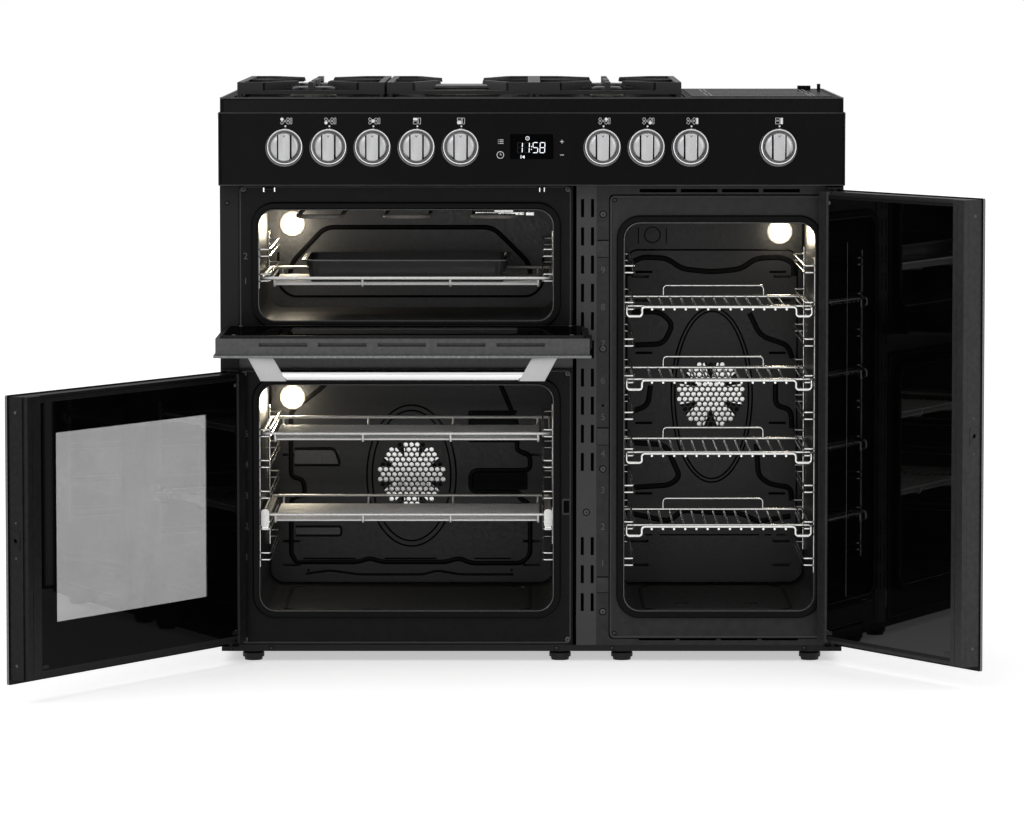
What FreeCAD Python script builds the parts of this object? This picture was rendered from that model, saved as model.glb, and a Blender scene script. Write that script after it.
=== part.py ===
import FreeCAD, Part
import math
import os
import re
import Sketcher
from FreeCAD import Placement, Rotation, Vector

# Range cooker with three cavities: a grill over a fan oven on the left and a tall fan oven on the right.
# Millimetres. X runs to the right, Y to the back and Z up from the floor, with the origin on the floor
# under the middle of the cabinet. The doors stand open, as far as their hinges let them.

SIZES = [
    ("cooker_width", 1000, "over the side panels"),
    ("cooker_depth", 600, "fascia to the rear edge of the hob"),
    ("hob_height", 910, "floor to the hob's top"),
    ("hob_edge_height", 24, "depth of the hob's pressed edge"),
    ("hob_side_inset", 3, "side panel to the hob's edge"),
    ("hob_front_inset", 2, "fascia to the hob's edge"),
    ("hob_skin", 4, "hob's top plate, before its well is pressed"),
    ("well_depth", 2, "gas side of the hob"),
    ("well_margin", 20, "hob's edge to the well"),
    ("well_right", 246, "right side of the well"),
    ("ceramic_left", 256, "left side of the glass ceramic zone"),
    ("ceramic_width", 226, "glass ceramic zone"),
    ("ceramic_margin", 40, "front and rear of the zone"),
    ("ceramic_thickness", 4, "glass ceramic"),
    ("foot_height", 17, "floor to the base rail"),
    ("foot_diameter", 35, "levelling foot"),
    ("foot_inset", 50, "side panel to a foot's axis"),
    ("foot_setback", 75, "fascia to a front foot's axis"),
    ("rear_foot_setback", 530, "fascia to a rear foot's axis"),
    ("rail_height", 10, "base rail"),
    ("rail_width", 70, "base rail's members"),
    ("sheet_steel", 2, "casing, cavities and frames"),
    ("door_space", 45, "fascia's face to the cabinets' face"),
    ("rear_inset", 23, "rear panel behind the hob's edge"),
    ("side_return", 29, "left casing's folded front edge"),
    ("right_return", 23, "right casing's folded front edge"),
    ("return_depth", 2, "thickness of the folded edges"),
    ("fascia_bottom", 770, "floor to the fascia"),
    ("fascia_height", 116, "fascia"),
    ("fascia_skin", 1.5, "fascia's sheet"),
    ("fascia_corner", 6, "fascia's upright corners"),
    ("pillar_left", 72, "slotted pillar between the cabinets"),
    ("pillar_width", 32, "slotted pillar"),
    ("pillar_depth", 60, "slotted pillar"),
    ("frame_gap", 6, "left cabinet's frame to the pillar"),
    ("slot_length", 29, "upright slot in the pillar"),
    ("slot_width", 5, "upright slot in the pillar"),
    ("slot_pitch", 45.4, "between the pillar's slots"),
    ("slot_top", 732, "centre of the highest slot"),
    ("vent_length", 59, "vent above and below the tall oven"),
    ("vent_height", 5.5, "vent above and below the tall oven"),
    ("vent_pitch", 66, "between those vents"),
    ("vent_margin", 10, "frame's edge to the vents' middle"),
    ("door_bottom", 30, "floor to the lower doors"),
    ("door_top", 763, "floor to the top of the doors"),
    ("main_door_top", 472, "floor to the top of the main oven's door"),
    ("door_split_gap", 4, "between doors"),
    ("door_split", 95, "between the left doors and the tall door"),
    ("door_side_gap", 4, "side panel to a door's edge"),
    ("door_depth", 34, "door, glass to glass"),
    ("glass_thickness", 4, "outer and inner panes"),
    ("glass_corner", 3, "outer pane's corners"),
    ("frame_inset", 8, "outer pane's top and bottom edge to the frame"),
    ("frame_side_inset", 3, "outer pane's upright edge to the frame"),
    ("frame_bar_width", 30, "door frame's bars"),
    ("inner_pane_inset", 10, "door frame's edge to the inner pane"),
    ("hinge_inset", 12, "door's edge to its upright pins"),
    ("hinge_setback", 10, "door's face to its upright pins"),
    ("hinge_plate", 3, "hinge bracket"),
    ("top_hinge_plate", 2, "bracket between the two left doors"),
    ("hinge_plate_width", 24, "hinge bracket"),
    ("hinge_pin", 8, "upright hinge pin"),
    ("pin_reach", 12, "pin's hold in the frame"),
    ("pin_play", 0.1, "between a pin and its hole"),
    ("grill_frame_foot", 505, "floor to the grill door's frame"),
    ("grill_axis_height", 519, "floor to the grill door's pins"),
    ("grill_lip", 34, "grill door's outer pane below its pins"),
    ("grill_axis_setback", 8, "door's face to the grill door's pins"),
    ("grill_pin", 6, "grill door's pin"),
    ("main_open_angle", 122, "main oven's door, degrees from shut"),
    ("tall_open_angle", 122, "tall oven's door, degrees from shut"),
    ("grill_open_angle", 90, "grill door, degrees from shut"),
    ("handle_depth", 37, "door's face to the handle's front"),
    ("handle_bar", 17.6, "handle's round bar"),
    ("handle_inset", 53, "door's edge to the handle"),
    ("handle_drop", 23, "door's top to the bar's axis"),
    ("bracket_width", 40, "handle's brackets"),
    ("bracket_slant", 20, "how far a bracket leans inwards"),
    ("latch_height", 18, "latch hole in a door's free side"),
    ("latch_width", 8, "latch hole in a door's free side"),
    ("door_vent_length", 75, "vent in the grill door's top"),
    ("door_vent_pitch", 92.5, "between those vents"),
    ("door_vent_width", 5.5, "vent in the grill door's top"),
    ("door_vent_inset", 71, "door's edge to the first vent"),
    ("cavity_left", -438, "left ovens' opening"),
    ("cavity_right", 35, "left ovens' opening"),
    ("tall_left", 148, "tall oven's opening"),
    ("tall_right", 455, "tall oven's opening"),
    ("grill_floor", 551, "grill's opening"),
    ("grill_ceiling", 730, "grill's opening"),
    ("main_floor", 83, "main oven's opening"),
    ("main_ceiling", 449, "main oven's opening"),
    ("tall_ceiling", 709, "tall oven's opening"),
    ("opening_corner", 26, "ovens' openings"),
    ("cavity_step", 3, "cavity's wall outside its opening"),
    ("oven_depth", 437, "fan ovens, over their shells"),
    ("grill_depth", 400, "grill, over its shell"),
    ("grill_frame_bottom", 522, "grill's front frame"),
    ("main_frame_top", 474, "main oven's front frame"),
    ("hinge_recess", 14, "recess between the two left frames"),
    ("raised_frame_left", 126, "raised frame of the tall oven"),
    ("raised_frame_margin", 12, "raised frame inside its cabinet's frame"),
    ("raised_frame_step", 2, "raised frame of the tall oven"),
    ("seal_width", 11.5, "door seal"),
    ("seal_gap", 0.3, "seal to a shut door"),
    ("knob_offset", 113.2, "middle of the fascia to the nearest knobs"),
    ("knob_pitch", 70.1, "between knobs"),
    ("knob_level", 832, "floor to the knobs' axes"),
    ("knob_diameter", 46, "knob"),
    ("knob_disc", 11, "knob's disc"),
    ("knob_grip_depth", 24, "knob's back to its grip's front"),
    ("knob_grip_width", 21, "knob's grip"),
    ("knob_clearance", 4, "fascia to a knob"),
    ("knob_bore_depth", 11, "bore for the spindle"),
    ("knob_play", 0.1, "spindle in its bores"),
    ("bezel_outer", 59, "ring round a knob"),
    ("bezel_inner", 51, "ring round a knob"),
    ("bezel_depth", 6, "ring round a knob"),
    ("spindle_diameter", 8, "tap and switch spindles"),
    ("spindle_hole", 12, "fascia's holes for spindles"),
    ("spindle_reach", 40, "fascia to the spindle's inner end"),
    ("press_travel", 3, "gas knobs press in this far"),
    ("display_width", 69.5, "clock window"),
    ("display_height", 40, "clock window"),
    ("tap_width", 30, "gas tap"),
    ("tap_depth", 60, "fascia to a tap's back"),
    ("switch_width", 42, "rotary switch"),
    ("switch_depth", 34, "rotary switch"),
    ("gas_rail_diameter", 16, "gas rail and feed pipe"),
    ("gas_rail_setback", 68, "fascia to the gas rail's axis"),
    ("gas_inlet_place", 222, "gas inlet, from the middle"),
    ("gas_thread", 20.955, "half inch gas thread"),
    ("gas_thread_length", 20, "inlet behind the rear panel"),
    ("gland_bore", 18, "supply cable's gland"),
    ("gland_outer", 26, "supply cable's gland"),
    ("gland_place", 360, "supply cable's gland, from the middle"),
    ("gland_level", 125, "floor to the gland"),
    ("burner_setback", 175, "fascia to the front burners"),
    ("rear_burner_setback", 425, "fascia to the rear burners"),
    ("wok_setback", 300, "fascia to the wok burner"),
    ("left_burners", -354, "left burners, from the middle"),
    ("wok_burner", -114, "wok burner, from the middle"),
    ("right_burners", 122, "right burners, from the middle"),
    ("small_crown", 55, "small burner"),
    ("medium_crown", 76, "medium burners"),
    ("large_crown", 100, "large burner"),
    ("wok_crown", 130, "wok burner"),
    ("crown_height", 10, "burner's crown"),
    ("cap_height", 6, "burner's cap"),
    ("burner_cup", 40, "burner's cup under the hob"),
    ("cup_depth", 26, "burner's cup under the hob"),
    ("grate_width", 236, "cast pan support"),
    ("grate_depth", 480, "cast pan support"),
    ("grate_setback", 60, "fascia to the pan supports"),
    ("grate_height", 25, "cast pan support, over its feet"),
    ("grate_bar", 10, "cast bars"),
    ("grate_foot", 6, "feet under a pan support"),
    ("tip_depth", 6.5, "cast finger at its tip"),
    ("finger_gap", 25, "burner's axis to a straight finger's tip"),
    ("finger_across", 27, "burner's axis to a slanting finger's tip, across"),
    ("finger_along", 25, "burner's axis to a slanting finger's tip, front to back"),
    ("wok_side_gap", 52, "wok burner's axis to a side finger's tip"),
    ("wok_finger_across", 38, "wok burner's axis to a slanting finger's tip, across"),
    ("wok_finger_along", 85, "wok burner's axis to a slanting finger's tip, front to back"),
    ("shelf_wire", 5, "shelf's frame wire"),
    ("grid_wire", 3.6, "shelf's grid wire"),
    ("rack_wire", 3, "side rack's level wires"),
    ("rack_post", 4, "side rack's uprights"),
    ("rack_play", 0.3, "between a rack and the cavity's wall"),
    ("rack_front", 13, "cabinet's face to the side racks"),
    ("rack_length", 360, "side racks, front to back"),
    ("rack_reach", 16.6, "opening's edge to the level wires"),
    ("wire_spread", 11, "between a level's two wires"),
    ("tall_level_first", 155, "tall oven's first level"),
    ("tall_level_pitch", 59.1, "between the tall oven's levels"),
    ("main_level_first", 164, "main oven's first level"),
    ("main_level_pitch", 49.9, "between the main oven's levels"),
    ("grill_level_first", 614, "grill's first level"),
    ("grill_level_pitch", 40, "between the grill's levels"),
    ("shelf_depth", 282, "tall oven's shelves"),
    ("shelf_drop", 15, "loops at the tall shelves' front corners"),
    ("shelf_loop", 25, "width of those loops"),
    ("shelf_fence", 18, "fence at the tall shelves' rear"),
    ("wire_pitch", 18, "tall shelves' grid"),
    ("wide_shelf_depth", 316, "main oven's shelves and grill rack"),
    ("wide_shelf_sink", 10, "grid below the wide shelves' frame"),
    ("wide_wire_pitch", 14, "wide shelves' grid"),
    ("wide_grid_inset", 20, "wide shelf's side wire to its grid"),
    ("runner_width", 10, "telescopic runner"),
    ("runner_height", 20, "telescopic runner's fixed half"),
    ("runner_cap_height", 29, "runner's front cap"),
    ("pan_width", 340, "grill pan's rim"),
    ("pan_depth", 248, "grill pan's rim"),
    ("pan_height", 36, "grill pan"),
    ("pan_taper", 14, "grill pan's wall, rim to floor"),
    ("pan_wall", 2, "grill pan"),
    ("pan_setback", 90, "fascia to the grill pan"),
    ("fan_panel_setback", 398, "cabinets' face to the ovens' rear lining"),
    ("fan_panel_margin", 5, "lining's edge to the cavity's wall"),
    ("hole_diameter", 8, "holes in front of a fan"),
    ("hole_pitch", 9.6, "between those holes"),
    ("hole_field", 118, "disc of holes"),
    ("outlet_length", 29, "hot air outlet"),
    ("outlet_height", 4.5, "hot air outlet"),
    ("post_diameter", 10, "lining's stand-offs"),
    ("fan_diameter", 146, "fan"),
    ("fan_hub", 24, "fan"),
    ("fan_depth", 22, "fan"),
    ("blade_thickness", 3, "fan"),
    ("fan_clearance", 7, "lining to the fan"),
    ("shaft_diameter", 6, "fan's shaft"),
    ("shaft_length", 26, "fan's shaft"),
    ("shaft_play", 0.08, "fan's shaft in its motor"),
    ("motor_diameter", 72, "fan motor"),
    ("motor_length", 52, "fan motor"),
    ("motor_plate", 92, "fan motor's plate"),
    ("element_wire", 7, "heating elements"),
    ("ring_element", 176, "element round a fan"),
    ("grill_element_level", 716, "floor to the grill element"),
    ("lamp_glass", 43, "oven lamp"),
    ("lamp_depth", 12, "oven lamp"),
]

# Where the knobs sit, in steps from the middle, and what they work.
GAS_KNOBS = {"left_rear": -5, "left_front": -4, "wok": -3, "right_rear": 1, "right_front": 2}
ELECTRIC_KNOBS = {"grill": -2, "main_oven": -1, "ceramic_zone": 3, "tall_oven": 5}
PILLAR_ROWS = [0, 1, 2, 3, 4, 5, 6, 7, 8, 9, 12, 13, 14]
TALL_LEVELS = 9
MAIN_LEVELS = 5
GRILL_LEVELS = 2
SHELF_LEVELS = [2, 4, 6, 8]
BLADES = 8

doc = FreeCAD.newDocument("range_cooker")
sheet = doc.addObject("Spreadsheet::Sheet", "Sizes")
for row, (alias, size, note) in enumerate(SIZES, start=1):
    sheet.set(f"A{row}", alias)
    sheet.set(f"B{row}", str(size))
    sheet.set(f"C{row}", note)
    sheet.setAlias(f"B{row}", alias)
doc.recompute()
ALIASES = {alias for alias, size, note in SIZES}


def linked(text):
    """An expression in plain size names, pointing at the sheet's cells."""
    return re.sub(r"[a-z]\w*", lambda m: "Sizes." + m[0] if m[0] in ALIASES else m[0], str(text))


def mm(text):
    """The present value of an expression."""
    return float(sheet.evalExpression(linked(text)))


# Planes and edges that many pieces share.
FRONT = "(-cooker_depth / 2)"
FRAME = f"({FRONT} + door_space)"
REAR = "(cooker_depth / 2 - rear_inset)"
LEFT = "(-cooker_width / 2)"
RIGHT = "(cooker_width / 2)"
BASE_TOP = "(foot_height + rail_height)"
CASING_TOP = "(fascia_bottom + fascia_height)"
HOB_TOP = f"({CASING_TOP} + hob_edge_height)"
WELL_FLOOR = f"({HOB_TOP} - well_depth)"
LEFT_FRAME_LEFT = f"({LEFT} + side_return)"
LEFT_FRAME_RIGHT = "(pillar_left - frame_gap)"
TALL_FRAME_LEFT = "(pillar_left + pillar_width)"
TALL_FRAME_RIGHT = f"({RIGHT} - right_return)"
LEFT_DOOR = (f"({LEFT} + door_side_gap)", "(door_split - door_split_gap / 2)")
TALL_DOOR = ("(door_split + door_split_gap / 2)", f"({RIGHT} - door_side_gap)")
GRILL_DOOR_FOOT = "(grill_axis_height - grill_lip)"
MAIN_HINGE_X = f"({LEFT_DOOR[0]} + hinge_inset)"
TALL_HINGE_X = f"({TALL_DOOR[1]} - hinge_inset)"
HINGE_Y = f"({FRONT} + hinge_setback)"
GRILL_HINGE_Y = f"({FRONT} + grill_axis_setback)"
MAIN_CENTRE = "((cavity_left + cavity_right) / 2)"
TALL_CENTRE = "((tall_left + tall_right) / 2)"
MAIN_FAN_LEVEL = "((main_floor + main_ceiling) / 2)"
TALL_FAN_LEVEL = "((main_floor + tall_ceiling) / 2 + 5)"
LINING = f"({FRAME} + fan_panel_setback)"
OVEN_BACK = f"({FRAME} + oven_depth - sheet_steel)"
GRILL_BACK = f"({FRAME} + grill_depth - sheet_steel)"
KNOB_BACK = f"({FRONT} - knob_clearance)"


def point(x, y, z):
    return Vector(mm(x), mm(y), mm(z))


def label(item, name):
    item.Label = name
    return item


# ---- primitives bound to the sheet -------------------------------------------------------------------------


def box(name, x, y, z):
    """A block between pairs of planes, each pair (low, high)."""
    item = doc.addObject("Part::Box", name)
    for side, (low, high) in zip(("Length", "Width", "Height"), (x, y, z)):
        item.setExpression(side, linked(f"({high}) - ({low})"))
    for axis, (low, high) in zip("xyz", (x, y, z)):
        item.setExpression(f"Placement.Base.{axis}", linked(low))
    return item


TURNS = {
    "x": Rotation(Vector(0, 1, 0), 90),
    "y": Rotation(Vector(1, 0, 0), -90),
    "z": Rotation(),
}


def cylinder(name, start, axis, diameter, length):
    """A round bar from its start along +X, +Y or +Z."""
    item = doc.addObject("Part::Cylinder", name)
    item.setExpression("Radius", linked(f"({diameter}) / 2"))
    item.setExpression("Height", linked(length))
    item.Placement = Placement(Vector(), TURNS[axis])
    for letter, place in zip("xyz", start):
        item.setExpression(f"Placement.Base.{letter}", linked(place))
    return item


def cone(name, start, axis, diameter, end_diameter, length):
    item = doc.addObject("Part::Cone", name)
    item.setExpression("Radius1", linked(f"({diameter}) / 2"))
    item.setExpression("Radius2", linked(f"({end_diameter}) / 2"))
    item.setExpression("Height", linked(length))
    item.Placement = Placement(Vector(), TURNS[axis])
    for letter, place in zip("xyz", start):
        item.setExpression(f"Placement.Base.{letter}", linked(place))
    return item


def cut(name, base, tools):
    item = doc.addObject("Part::Cut", name)
    item.Base = base
    item.Tool = tools[0] if len(tools) == 1 else group(name + "_tools", tools)
    return item


def fuse(name, pieces):
    item = doc.addObject("Part::MultiFuse", name)
    item.Shapes = pieces
    return item


def group(name, pieces):
    """Separate solids that share a name, such as a set of screws or rings."""
    item = doc.addObject("Part::Compound", name)
    item.Links = pieces
    return item


def computed(name, shape, place=Vector()):
    item = doc.addObject("Part::Feature", name)
    item.Shape = shape
    item.Placement = Placement(place, Rotation())
    return item


# ---- bodies from sketches ----------------------------------------------------------------------------------


def new_body(name):
    return doc.addObject("PartDesign::Body", name)


def new_sketch(body, role, lift="0"):
    """A sketch on one of the body's own planes, lifted along that plane's normal."""
    sketch = body.newObject("Sketcher::SketchObject", body.Name + "_sketch")
    plane = next(f for f in body.Origin.OriginFeatures if f.Role == role)
    sketch.AttachmentSupport = [(plane, "")]
    sketch.MapMode = "FlatFace"
    sketch.setExpression("AttachmentOffset.Base.z", linked(lift))
    return sketch


def front_sketch(body, depth):
    """A sketch seen from the front, at a depth Y. Its normal points at the viewer."""
    return new_sketch(body, "XZ_Plane", f"-({depth})")


def bind(sketch, constraint, expression):
    number = sketch.addConstraint(constraint)
    sketch.renameConstraint(number, f"size{number}")
    sketch.setExpression(f"Constraints.size{number}", linked(expression))


def place_point(sketch, geometry, end, x, y):
    bind(sketch, Sketcher.Constraint("DistanceX", -1, 1, geometry, end, mm(x)), x)
    bind(sketch, Sketcher.Constraint("DistanceY", -1, 1, geometry, end, mm(y)), y)


def polygon(sketch, corners):
    """A closed outline through corners, each pinned by its two expressions."""
    points = [Vector(mm(x), mm(y), 0) for x, y in corners]
    count = len(points)
    lines = [sketch.addGeometry(Part.LineSegment(points[i], points[(i + 1) % count])) for i in range(count)]
    for i in range(count):
        sketch.addConstraint(Sketcher.Constraint("Coincident", lines[i], 2, lines[(i + 1) % count], 1))
    for line, (x, y) in zip(lines, corners):
        place_point(sketch, line, 1, x, y)


def rectangle(sketch, x, y):
    polygon(sketch, [(x[0], y[0]), (x[1], y[0]), (x[1], y[1]), (x[0], y[1])])


def rounded(sketch, x, y, radius):
    """A rectangle between (low, high) pairs with one corner radius."""
    left, right, low, high, r = (mm(e) for e in (*x, *y, radius))
    ends = [
        (Vector(left + r, low), Vector(right - r, low)),
        (Vector(right, low + r), Vector(right, high - r)),
        (Vector(right - r, high), Vector(left + r, high)),
        (Vector(left, high - r), Vector(left, low + r)),
    ]
    centres = [
        Vector(right - r, low + r),
        Vector(right - r, high - r),
        Vector(left + r, high - r),
        Vector(left + r, low + r),
    ]
    edges = []
    for side in range(4):
        edges.append(sketch.addGeometry(Part.LineSegment(*ends[side])))
        start = math.radians(270 + 90 * side)
        circle = Part.Circle(centres[side], Vector(0, 0, 1), r)
        edges.append(sketch.addGeometry(Part.ArcOfCircle(circle, start, start + math.pi / 2)))
    for i in range(8):
        sketch.addConstraint(Sketcher.Constraint("Tangent", edges[i], 2, edges[(i + 1) % 8], 1))
    for side, kind in enumerate(("Horizontal", "Vertical", "Horizontal", "Vertical")):
        sketch.addConstraint(Sketcher.Constraint(kind, edges[2 * side]))
    for corner in (3, 5, 7):
        sketch.addConstraint(Sketcher.Constraint("Equal", edges[1], edges[corner]))
    bind(sketch, Sketcher.Constraint("Radius", edges[1], r), radius)
    bind(sketch, Sketcher.Constraint("DistanceY", -1, 1, edges[0], 1, low), y[0])
    bind(sketch, Sketcher.Constraint("DistanceX", -1, 1, edges[2], 1, right), x[1])
    bind(sketch, Sketcher.Constraint("DistanceY", -1, 1, edges[4], 1, high), y[1])
    bind(sketch, Sketcher.Constraint("DistanceX", -1, 1, edges[6], 1, left), x[0])


def circle(sketch, x, y, diameter):
    edge = sketch.addGeometry(Part.Circle(Vector(mm(x), mm(y)), Vector(0, 0, 1), mm(diameter) / 2))
    bind(sketch, Sketcher.Constraint("Diameter", edge, mm(diameter)), diameter)
    place_point(sketch, edge, 3, x, y)


def pad(body, sketch, length, backwards=False, both_ways=False):
    feature = body.newObject("PartDesign::Pad", body.Name + "_pad")
    feature.Profile = sketch
    feature.setExpression("Length", linked(length))
    feature.Reversed = backwards
    feature.Midplane = both_ways
    sketch.Visibility = False
    return feature


def pocket(body, sketch, length, forwards=False):
    """Cuts against the sketch's normal, or along it where forwards is set, and must take something away."""
    doc.recompute()
    before = body.Shape.Volume
    feature = body.newObject("PartDesign::Pocket", body.Name + "_pocket")
    feature.Profile = sketch
    feature.setExpression("Length", linked(length))
    feature.Reversed = forwards
    doc.recompute()
    if body.Shape.Volume >= before:
        raise RuntimeError(f"a pocket of {body.Name} cuts nothing")
    return feature


def soften(body, radius, wanted):
    """Rounds the edges for which wanted(edge) holds."""
    doc.recompute()
    last = body.Tip
    names = [f"Edge{i}" for i, edge in enumerate(last.Shape.Edges, start=1) if wanted(edge)]
    feature = body.newObject("PartDesign::Fillet", body.Name + "_fillet")
    feature.Base = (last, names)
    feature.setExpression("Radius", linked(radius))
    return feature


def lies_at(edge, axis, level):
    """True for an edge that lies whole in the plane where this axis has this value."""
    bounds = edge.BoundBox
    low, high = {"x": (bounds.XMin, bounds.XMax), "y": (bounds.YMin, bounds.YMax), "z": (bounds.ZMin, bounds.ZMax)}[axis]
    return abs(low - level) < 0.01 and abs(high - level) < 0.01


# ---- bent wire ---------------------------------------------------------------------------------------------


def bent_path(points, radius):
    """Straight runs joined by tangent arcs at the inner points."""
    edges = []
    start = points[0]
    for before, corner, after in zip(points, points[1:], points[2:]):
        inward = (before - corner).normalize()
        outward = (after - corner).normalize()
        half = inward.getAngle(outward) / 2
        reach = radius / math.tan(half)
        first = corner + inward * reach
        last = corner + outward * reach
        middle_way = (inward + outward).normalize()
        middle = corner + middle_way * (radius / math.sin(half) - radius)
        if (first - start).Length > 1e-4:
            edges.append(Part.LineSegment(start, first).toShape())
        edges.append(Part.Arc(first, middle, last).toShape())
        start = last
    edges.append(Part.LineSegment(start, points[-1]).toShape())
    return Part.Wire(edges)


def bent_wire(points, radius, diameter):
    path = bent_path(points, radius)
    direction = (points[1] - points[0]).normalize()
    section = Part.Wire([Part.makeCircle(diameter / 2, points[0], direction)])
    return path.makePipeShell([section], True, False)


def rod(start, end, diameter):
    span = end - start
    return Part.makeCylinder(diameter / 2, span.Length, start, span)


def welded(shapes):
    return shapes[0].multiFuse(shapes[1:])


# ---- cabinet -----------------------------------------------------------------------------------------------


def make_base_frame():
    """A flat ring of rails with a wide cross rail under the pillar."""
    level = ("foot_height", BASE_TOP)
    middle = "(pillar_left + pillar_width / 2)"
    inner = (f"{FRAME} + rail_width", f"{REAR} - rail_width")
    rails = {
        "front": ((LEFT, RIGHT), (FRAME, inner[0])),
        "rear": ((LEFT, RIGHT), (inner[1], REAR)),
        "left": ((LEFT, f"{LEFT} + rail_width"), inner),
        "middle": ((f"{middle} - rail_width", f"{middle} + rail_width"), inner),
        "right": ((f"{RIGHT} - rail_width", RIGHT), inner),
    }
    return group("base_frame", [box(f"{side}_rail", x, y, level) for side, (x, y) in rails.items()])


def foot_places():
    """Four feet under each of the two cabinets."""
    middle = "(pillar_left + pillar_width / 2)"
    columns = [f"{LEFT} + foot_inset", f"{middle} - foot_inset + 8", f"{middle} + foot_inset + 8", f"{RIGHT} - foot_inset"]
    rows = [f"{FRONT} + foot_setback", f"{FRONT} + rear_foot_setback"]
    return [(x, y) for x in columns for y in rows]


def make_levelling_feet():
    feet = []
    for number, (x, y) in enumerate(foot_places(), start=1):
        feet.append(cylinder(f"foot_{number}", (x, y, "0"), "z", "foot_diameter", "foot_height"))
    return group("levelling_feet", feet)


def make_outer_casing():
    """Two sides with folded front edges and a rear panel with louvres between them."""
    upright = (BASE_TOP, CASING_TOP)
    fold = (FRAME, f"{FRAME} + return_depth")
    behind = (fold[1], REAR)
    left_edge = f"{LEFT} + sheet_steel"
    right_edge = f"{RIGHT} - sheet_steel"
    pieces = [
        box("casing_left", (LEFT, left_edge), behind, upright),
        box("casing_right", (right_edge, RIGHT), behind, upright),
        box("casing_left_return", (LEFT, f"{LEFT} + side_return"), fold, upright),
        box("casing_right_return", (f"{RIGHT} - right_return", RIGHT), fold, upright),
    ]
    rear = box("casing_rear", (left_edge, right_edge), (f"{REAR} - sheet_steel", REAR), upright)
    through = f"{REAR} - 2 * sheet_steel"
    length = "4 * sheet_steel"
    holes = [
        cylinder("gas_hole", ("gas_inlet_place", through, "knob_level"), "y", "gas_rail_diameter + 6", length),
        cylinder("gland_hole", ("gland_place", through, "gland_level"), "y", "gland_outer + 0.2", length),
    ]
    for column in (-1, 1):
        for row in range(8):
            middle = f"{column} * cooker_width / 4"
            level = f"hob_height * 0.72 + {row} * 3 * vent_height"
            across = (f"{middle} - vent_length", f"{middle} + vent_length")
            opening = (level, f"{level} + vent_height")
            holes.append(box(f"louvre_{column + 1}_{row}", across, (through, f"{REAR} + sheet_steel"), opening))
    pieces.append(cut("casing_rear_panel", rear, holes))
    return group("outer_casing", pieces)


def make_centre_pillar():
    """A channel between the cabinets, with two columns of upright slots."""
    across = (TALL_FRAME_LEFT + " - pillar_width", TALL_FRAME_LEFT)
    outer = box("pillar_outer", across, (FRAME, f"{FRAME} + pillar_depth"), (BASE_TOP, "fascia_bottom"))
    inner = box(
        "pillar_inner",
        (f"{across[0]} + sheet_steel", f"{across[1]} - sheet_steel"),
        (f"{FRAME} + sheet_steel", f"{FRAME} + pillar_depth + 1"),
        (BASE_TOP, "fascia_bottom"),
    )
    slots = [inner]
    for column in (0.3, 0.8):
        for row in PILLAR_ROWS:
            x = f"(pillar_left + pillar_width * {column})"
            z = f"(slot_top - {row} * slot_pitch)"
            slots.append(
                box(
                    f"slot_{int(column * 10)}_{row}",
                    (f"{x} - slot_width / 2", f"{x} + slot_width / 2"),
                    (f"{FRAME} - 1", f"{FRAME} + 2 * sheet_steel"),
                    (f"{z} - slot_length / 2", f"{z} + slot_length / 2"),
                )
            )
    return cut("centre_pillar", outer, slots)


def make_cavity(name, across, upright, depth, frame_across, frame_upright, raised=None):
    """A pressed oven liner with its front frame: opening, hollow and frame are concentric."""
    body = new_body(name)
    wall = "(cavity_step + sheet_steel)"
    shell = front_sketch(body, FRAME)
    rounded(shell, (f"{across[0]} - {wall}", f"{across[1]} + {wall}"),
            (f"{upright[0]} - {wall}", f"{upright[1]} + {wall}"), "opening_corner")
    pad(body, shell, depth, backwards=True)
    plate = front_sketch(body, FRAME)
    rectangle(plate, frame_across, frame_upright)
    pad(body, plate, "sheet_steel", backwards=True)
    face = FRAME
    if raised:
        step = front_sketch(body, FRAME)
        rounded(step, raised[0], raised[1], "opening_corner / 2")
        pad(body, step, "raised_frame_step")
        face = f"({FRAME} - raised_frame_step)"
    hollow = front_sketch(body, f"{FRAME} + sheet_steel")
    rounded(hollow, (f"{across[0]} - cavity_step", f"{across[1]} + cavity_step"),
            (f"{upright[0]} - cavity_step", f"{upright[1]} + cavity_step"), "opening_corner - sheet_steel")
    pocket(body, hollow, f"{depth} - 2 * sheet_steel")
    mouth = front_sketch(body, face)
    rounded(mouth, across, upright, "opening_corner")
    pocket(body, mouth, f"{FRAME} - {face} + 2 * sheet_steel")
    return body


def shaft_hole(body, x, z):
    """Clearance for a fan's shaft through the cavity's rear wall."""
    hole = front_sketch(body, f"{OVEN_BACK} - 1")
    circle(hole, x, z, "shaft_diameter + 6")
    pocket(body, hole, "sheet_steel + 2")


def make_grill_cavity():
    across = ("cavity_left", "cavity_right")
    body = make_cavity("grill_cavity", across, ("grill_floor", "grill_ceiling"), "grill_depth",
                       (LEFT_FRAME_LEFT, LEFT_FRAME_RIGHT), ("grill_frame_bottom", "fascia_bottom"))
    ledge = front_sketch(body, FRAME)
    rectangle(ledge, (LEFT_FRAME_LEFT, LEFT_FRAME_RIGHT), ("grill_frame_bottom", "grill_frame_bottom + sheet_steel"))
    pad(body, ledge, "hinge_recess", backwards=True)
    recess = front_sketch(body, f"{FRAME} + hinge_recess")
    rectangle(recess, (LEFT_FRAME_LEFT, LEFT_FRAME_RIGHT), ("main_frame_top", "grill_frame_bottom + sheet_steel"))
    pad(body, recess, "sheet_steel")
    return body


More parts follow.
